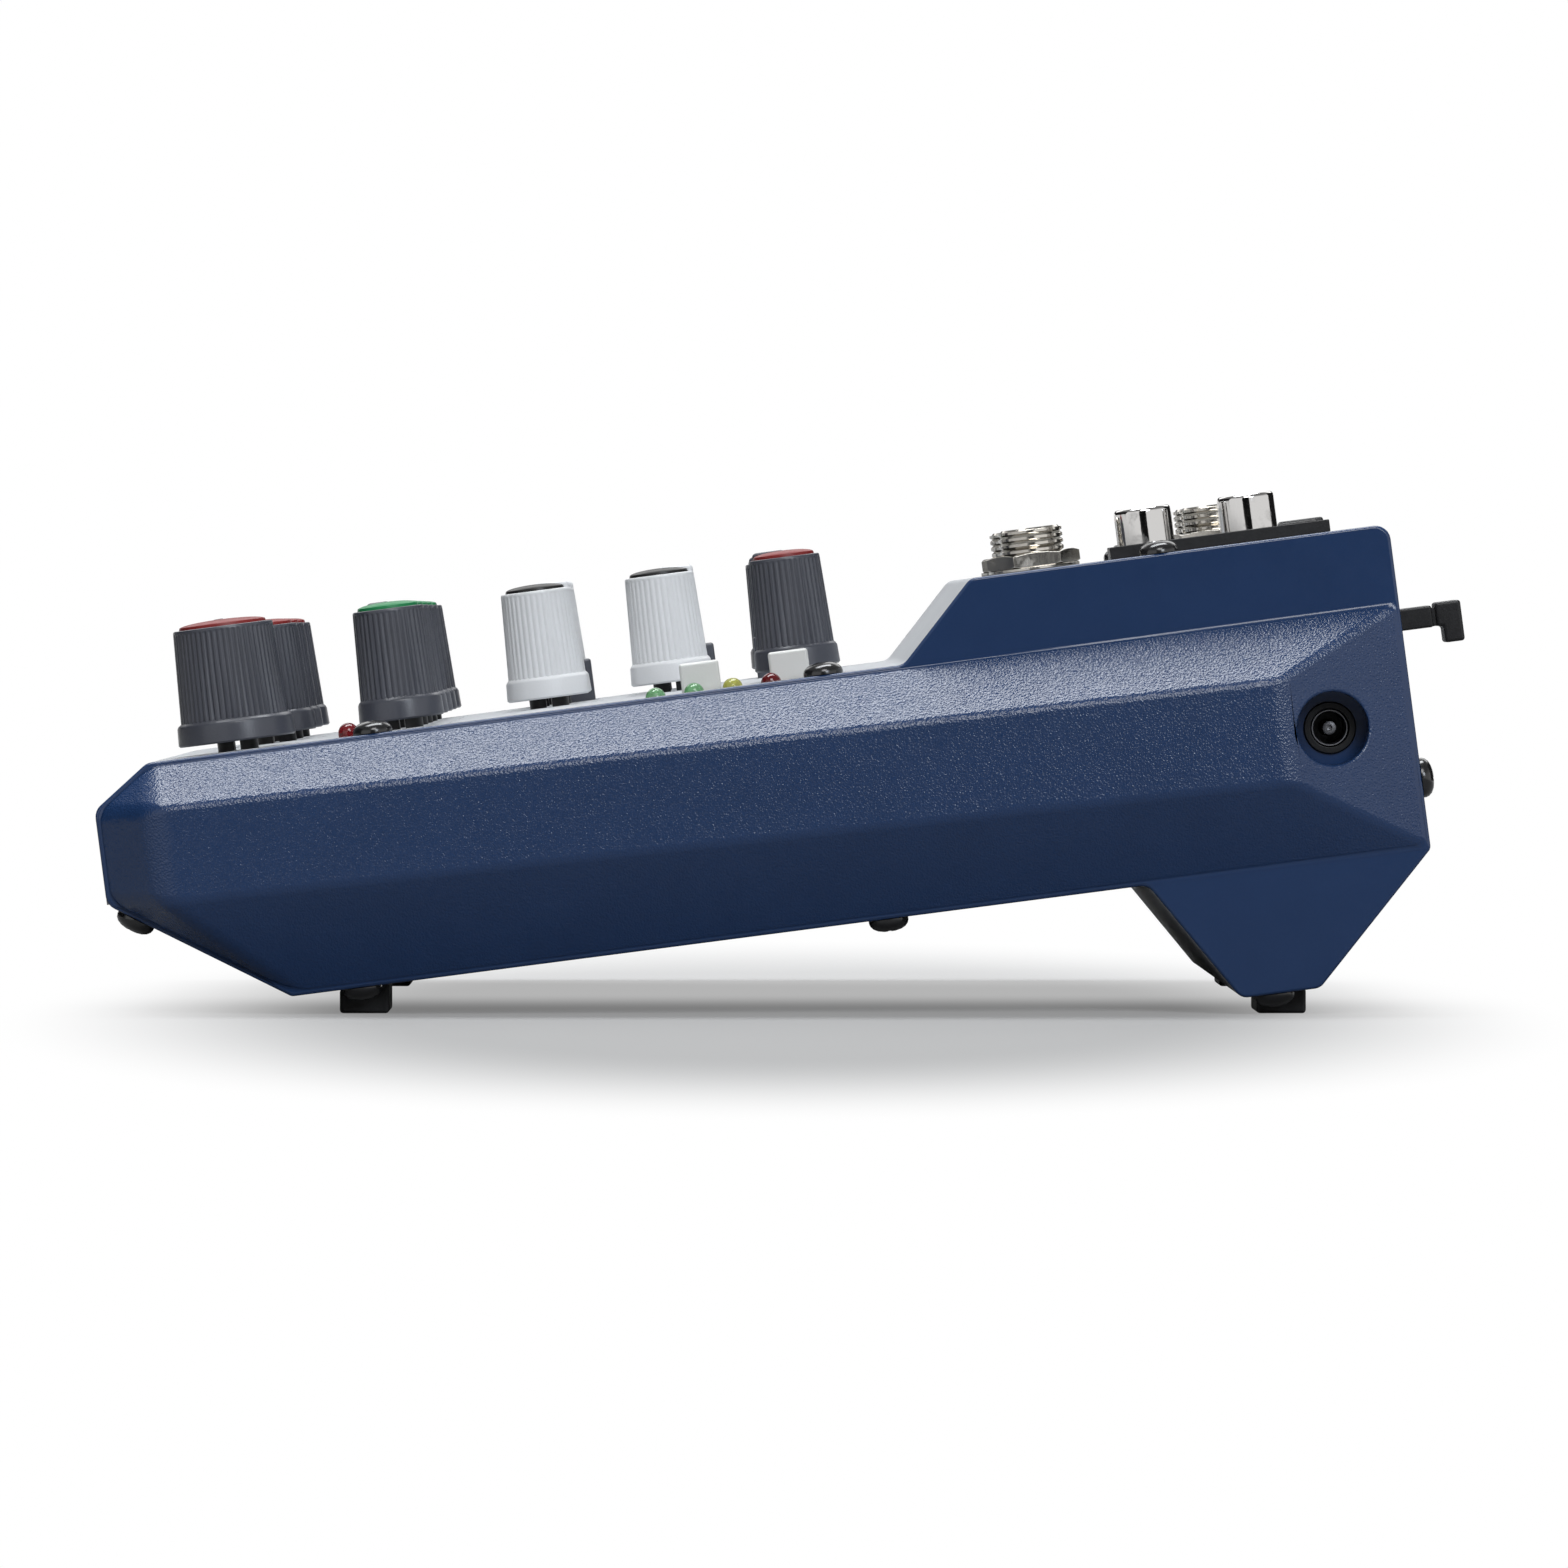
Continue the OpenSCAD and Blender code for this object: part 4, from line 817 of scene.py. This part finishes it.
def jack_collar():
    """A threaded collar with a turned mouth, round a blind bore."""
    core = COLLAR_R - THREAD_D
    thread = []
    for ridge in range(THREADS):
        z = THREAD_FOOT + ridge * THREAD_PITCH
        thread += [(core, z), (COLLAR_R, z + 0.22), (COLLAR_R, z + 0.6)]
    return lathe([
        (0, BORE_END - 1), (core, BORE_END - 1), (core, 0.4), *thread,
        (core, COLLAR_H - 0.25), (core - 0.2, COLLAR_H), (PLUG_R + 0.35, COLLAR_H),
        (PLUG_R, COLLAR_H - 0.35), (PLUG_R, BORE_END), (0, BORE_END),
    ])


def jack_body():
    """The moulded block under the deck, down to the jack board, round its collar's bore."""
    low = (-JACK_HALF_W, -JACK_HALF_D, JACK_BOARD_H - DECK_H)
    high = (JACK_HALF_W, JACK_HALF_D, -SHEET_T)
    bore = lathe([(0, BORE_END - 0.5), (JACK_BORE_R, BORE_END - 0.5), (JACK_BORE_R, 2), (0, 2)])
    return carved(block(low, high, 0.6), bore)


def hex_nut():
    """A hexagon nut with its corners turned off at the top and the foot."""
    radius = NUT_ACROSS_FLATS / 2 / math.cos(math.radians(30))
    flats = bmesh.new()
    bmesh.ops.create_cone(
        flats, cap_ends=True, segments=6, radius1=radius, radius2=radius, depth=NUT_TOP - NUT_FOOT,
        matrix=at(0, 0, (NUT_TOP + NUT_FOOT) / 2, 30),
    )
    turned = lathe([
        (NUT_BORE_R, NUT_FOOT - 0.1), (6.2, NUT_FOOT - 0.1), (7.1, NUT_FOOT + 0.3), (7.1, NUT_TOP - 0.4),
        (5.95, NUT_TOP + 0.02), (5.15, NUT_TOP + 0.02), (NUT_BORE_R, NUT_TOP - 0.3),
    ], closed=True)
    return rounded(carved(flats, turned, "INTERSECT"), 0.08, 2, 35)


def washer():
    """A flat ring with its outer edges eased."""
    edge = WASHER_R - 0.1
    return lathe([
        (WASHER_BORE_R, 0.02), (edge, 0.02), (WASHER_R, 0.1), (WASHER_R, 0.42), (edge, WASHER_T),
        (WASHER_BORE_R, WASHER_T),
    ], closed=True)


jacks, fixings = [], []
for x, y, turn in JACKS:
    place = at(x, y, DECK_H, turn)
    jacks += [placed(jack_body(), at(x, y, DECK_H)), placed(jack_collar(), place)]
    fixings += [placed(washer(), place), placed(hex_nut(), place)]
piece(
    joined(jacks, [1, 0] * len(JACKS)),
    "threaded_jacks", "case", [NICKEL, BLACK], ["jack_bodies"],
)
piece(joined(fixings), "jack_fixings", "case", NICKEL, ["jack_nuts"])

# The phono sockets' x, and the y of each
PHONO_X, PHONOS = HALF_W - 15, [RISE_TOP + 26.5, RISE_TOP + 41.7]


def phono_sleeve():
    """A plated sleeve with a rolled mouth."""
    return lathe([
        (3.6, 1.8), (4.2, 1.8), (4.2, 6.35), (4.12, 6.68), (3.95, 6.9), (3.72, 7),
        (3.5, 6.98), (3.38, 6.85), (3.38, 6.6), (3.6, 6.35),
    ], closed=True)


piece(
    joined([placed(phono_sleeve(), at(PHONO_X, y, DECK_H)) for y in PHONOS]),
    "plated_sleeves", "case", BRIGHT_NICKEL, ["phono_sleeves"],
)

# The CAD mouldings that only need their edges rounded: by how much, in how many steps, and which edges
for node, name, body, radius, segments, edges in (
    ("phono_block", "phono_moulding", "case", 0.3, 2, every_edge),
    ("combo_shell", "combination_shell", "case", 0.4, 2, stands_out),
    ("combo_core", "combination_core", "case", 0.3, 2, stands_out),
    ("combo_latch", "release_tab", "latch", 0.45, 3, stands_out),
    ("dc_inlet", "inlet_moulding", "case", 0.25, 2, every_edge),
):
    moulding = rounded(cad_shape(node), radius, segments, 40, chosen=edges)
    piece(moulding, name, body, BLACK, [node])


def inlet_contacts():
    """The power inlet's contact ring and its hollow centre pin."""
    ring = lathe([
        (2.3, -8.8), (2.75, -8.8), (2.75, -0.25), (2.6, 0.1), (2.45, 0.1), (2.3, -0.25),
    ], closed=True)
    pin = lathe([
        (0, -10), (1.05, -10), (1.05, -0.8), (0.95, -0.58), (0.7, -0.5), (0.42, -0.5), (0.36, -0.9), (0, -1),
    ])
    return joined([placed(ring, INLET), placed(pin, INLET)])


# The inlet's contacts take the darkened nickel, painted shade of the recess they sit in
piece(inlet_contacts(), "inlet_contacts", "case", RECESS_SHADE_NICKEL, ["inlet_pin"])

# ---- Print on the panel ----

SWEEP, MARKS, MARK_HALF_W, INK_T = 300, 11, 0.16, 0.008
MARK_LONG, MARK_SHORT = 1.5, 0.9
CHANNEL_SCALE_R, MAIN_SCALE_R = 8.3, 10.6


def scale(reach):
    """The marks round a knob, with longer ones at the ends and in the middle."""
    marks = []
    for step in range(MARKS):
        long = MARK_LONG if step % 5 == 0 else MARK_SHORT
        mark = block((-MARK_HALF_W, reach - long, 0), (MARK_HALF_W, reach, INK_T))
        marks.append(placed(mark, at(0, 0, 0, SWEEP / 2 - step * SWEEP / (MARKS - 1))))
    return joined(marks)


scales = []
for name in KNOBS:
    x, y, _ = knob_place(name)
    reach = MAIN_SCALE_R if name == "main_level" else CHANNEL_SCALE_R
    scales.append(placed(scale(reach), at(x, y, PANEL_H)))
piece(joined(scales), "scale_marks", "case", INK)

# ---- CAD pieces whose shape is right ----

INSIDE = {
    "circuit_boards": MASK, "board_components": BLACK, "board_spacers": NICKEL, "ribbon_cable": RIBBON,
}
for node, material in INSIDE.items():
    mesh = frame["nodes"][node].data
    mesh.materials.clear()
    mesh.materials.append(material)

# ---- Floor, light and camera ----

# The patch of floor that shows the shadow, in metres: its middle, and its reach along X and along Y
SHADOW_MIDDLE, SHADOW_X, SHADOW_Y = 0.06, 0.34, 0.1


def floor_finish():
    """A floor that takes the shadow near the console, lightened there by a painted glow, and is seen pure
    white away from it.
    """
    finish = Finish("floor_white", (0.25, 0.25, 0.25), 0.9, Specular_IOR_Level=0.0)
    along_x = (finish.part("X") - SHADOW_MIDDLE) * (1 / SHADOW_X)
    along_y = finish.part("Y") * (1 / SHADOW_Y)
    away = finish.maths("SQRT", along_x * along_x + along_y * along_y)
    seen, mirrored = finish.rays("Is Camera Ray", "Is Transmission Ray"), finish.rays("Is Glossy Ray")
    # It turns white outside the patch, and for mirrored rays much further out
    background = finish.maths("MAXIMUM", seen * away.above(0.85, 0.6), mirrored * away.above(5, 4))
    white = finish.node("ShaderNodeEmission", {}, {"Color": (1, 1, 1, 1), "Strength": 1.0})
    # Near the console a painted glow lightens the floor's shadow, and more so under the console
    under = 1 - finish.part("X").above(0.02, 0.07)
    strength = seen * (under * 0.26 + 0.2)
    painted_glow = finish.node("ShaderNodeEmission", {}, {"Color": (1, 1, 1, 1), "Strength": strength})
    lit = finish.node("ShaderNodeAddShader", {}, {0: Value(finish, finish.shader.outputs[0]), 1: painted_glow})
    surface = finish.node("ShaderNodeMixShader", {}, {0: background, 1: lit, 2: white})
    finish.tree.links.new(surface.socket, finish.tree.nodes["Material Output"].inputs["Surface"])
    return finish.material


def stage_sheet(name, size, place, turn, material):
    """A flat rectangle of the studio, in metres: the floor or a card."""
    mesh = bpy.data.meshes.new(name)
    bm = bmesh.new()
    bmesh.ops.create_grid(bm, x_segments=1, y_segments=1, size=0.5)
    bmesh.ops.scale(bm, vec=(*size, 1), verts=bm.verts)
    bm.to_mesh(mesh)
    bm.free()
    mesh.materials.append(material)
    obj = bpy.data.objects.new(name, mesh)
    bpy.context.scene.collection.objects.link(obj)
    obj.location = place
    obj.rotation_euler = [math.radians(angle) for angle in turn]
    return obj


stage_sheet("floor", (40, 40), (0, 0, 0), (0, 0, 0), floor_finish())
# Black cards give the bright parts dark stripes to reflect. No camera sees them, so they hide nothing in
# any view. One stands behind the camera, one at each side and one behind the console: place, size, turn.
CARDS = [
    ((2.1, 0, 0.8), (1.0, 1.6), 90), ((-0.3, -0.62, 0.26), (1.2, 0.5), 0),
    ((-0.62, 0.6, 0.26), (1.1, 0.5), 0), ((-1.35, 0, 0.48), (3.0, 0.5), 90),
]
black_card = Finish("card_black", (0.02, 0.02, 0.02), 0.9, Specular_IOR_Level=0.0).material
for number, (place, size, turn) in enumerate(CARDS, 1):
    card = stage_sheet("card_%d" % number, size, place, (90, 0, turn), black_card)
    card.visible_camera = False


def studio_world():
    """White all round where it is seen or mirrored, dimmer higher up, and dim as a light."""
    world = bpy.data.worlds.new("studio")
    world.use_nodes = True
    sky = Shading(world.node_tree)
    seen = sky.rays("Is Camera Ray", "Is Glossy Ray", "Is Transmission Ray")
    direction = sky.node("ShaderNodeTexCoord", {}, {}, "Generated")
    height = sky.node("ShaderNodeSeparateXYZ", {}, {"Vector": direction}, "Z")
    dimming = {"From Min": 0.3, "From Max": 0.6, "To Min": 1.0, "To Max": 0.25}
    white = sky.node("ShaderNodeMapRange", {}, {"Value": height, **dimming})
    level = sky.node("ShaderNodeMapRange", {}, {"Value": seen, "To Min": 0.18, "To Max": white})
    background = world.node_tree.nodes["Background"]
    background.inputs["Color"].default_value = (1, 1, 1, 1)
    world.node_tree.links.new(level.socket, background.inputs["Strength"])
    return world


bpy.context.scene.world = studio_world()


def lamp(name, place, target, size, power, colour=(1, 1, 1)):
    """A rectangular lamp that faces its target, in metres and watts."""
    light = bpy.data.lights.new(name, "AREA")
    light.shape = "RECTANGLE"
    light.size, light.size_y = size
    light.energy = power
    light.color = colour
    obj = bpy.data.objects.new(name, light)
    bpy.context.scene.collection.objects.link(obj)
    obj.location = place
    obj.rotation_euler = (Vector(target) - Vector(place)).to_track_quat("-Z", "Y").to_euler()


lamp("strip_overhead", (-0.10, -0.08, 1.0), (0.05, 0, 0.05), (0.9, 0.3), 9.5, (0.95, 0.975, 1))
lamp("softbox_behind", (-1.0, 0.0, 0.75), (0, 0, 0.03), (1.6, 0.7), 5)
lamp("softbox_ahead", (1.4, 0.1, 1.15), (0, 0, 0.03), (0.7, 0.7), 11)
lamp("fill_right", (1.5, 0.6, 0.68), (0, 0, 0.05), (0.4, 0.5), 6.5, (0.84, 0.91, 1))

# A long lens, level with the knobs, looks along -X at the right cheek
EYE = (1.82, -0.01144, 0.058)
LENS, SENSOR_W = 275.5, 36
SHIFT = (0.05102041, -0.10778061)
camera = bpy.data.cameras.new("camera")
camera.lens, camera.sensor_width = LENS, SENSOR_W
camera.shift_x, camera.shift_y = SHIFT
camera.clip_start = 0.1
eye = bpy.data.objects.new("camera", camera)
bpy.context.scene.collection.objects.link(eye)
eye.location = EYE
eye.rotation_euler = (math.radians(90), 0, math.radians(90))
bpy.context.scene.camera = eye
bpy.context.scene.view_settings.view_transform = "Standard"
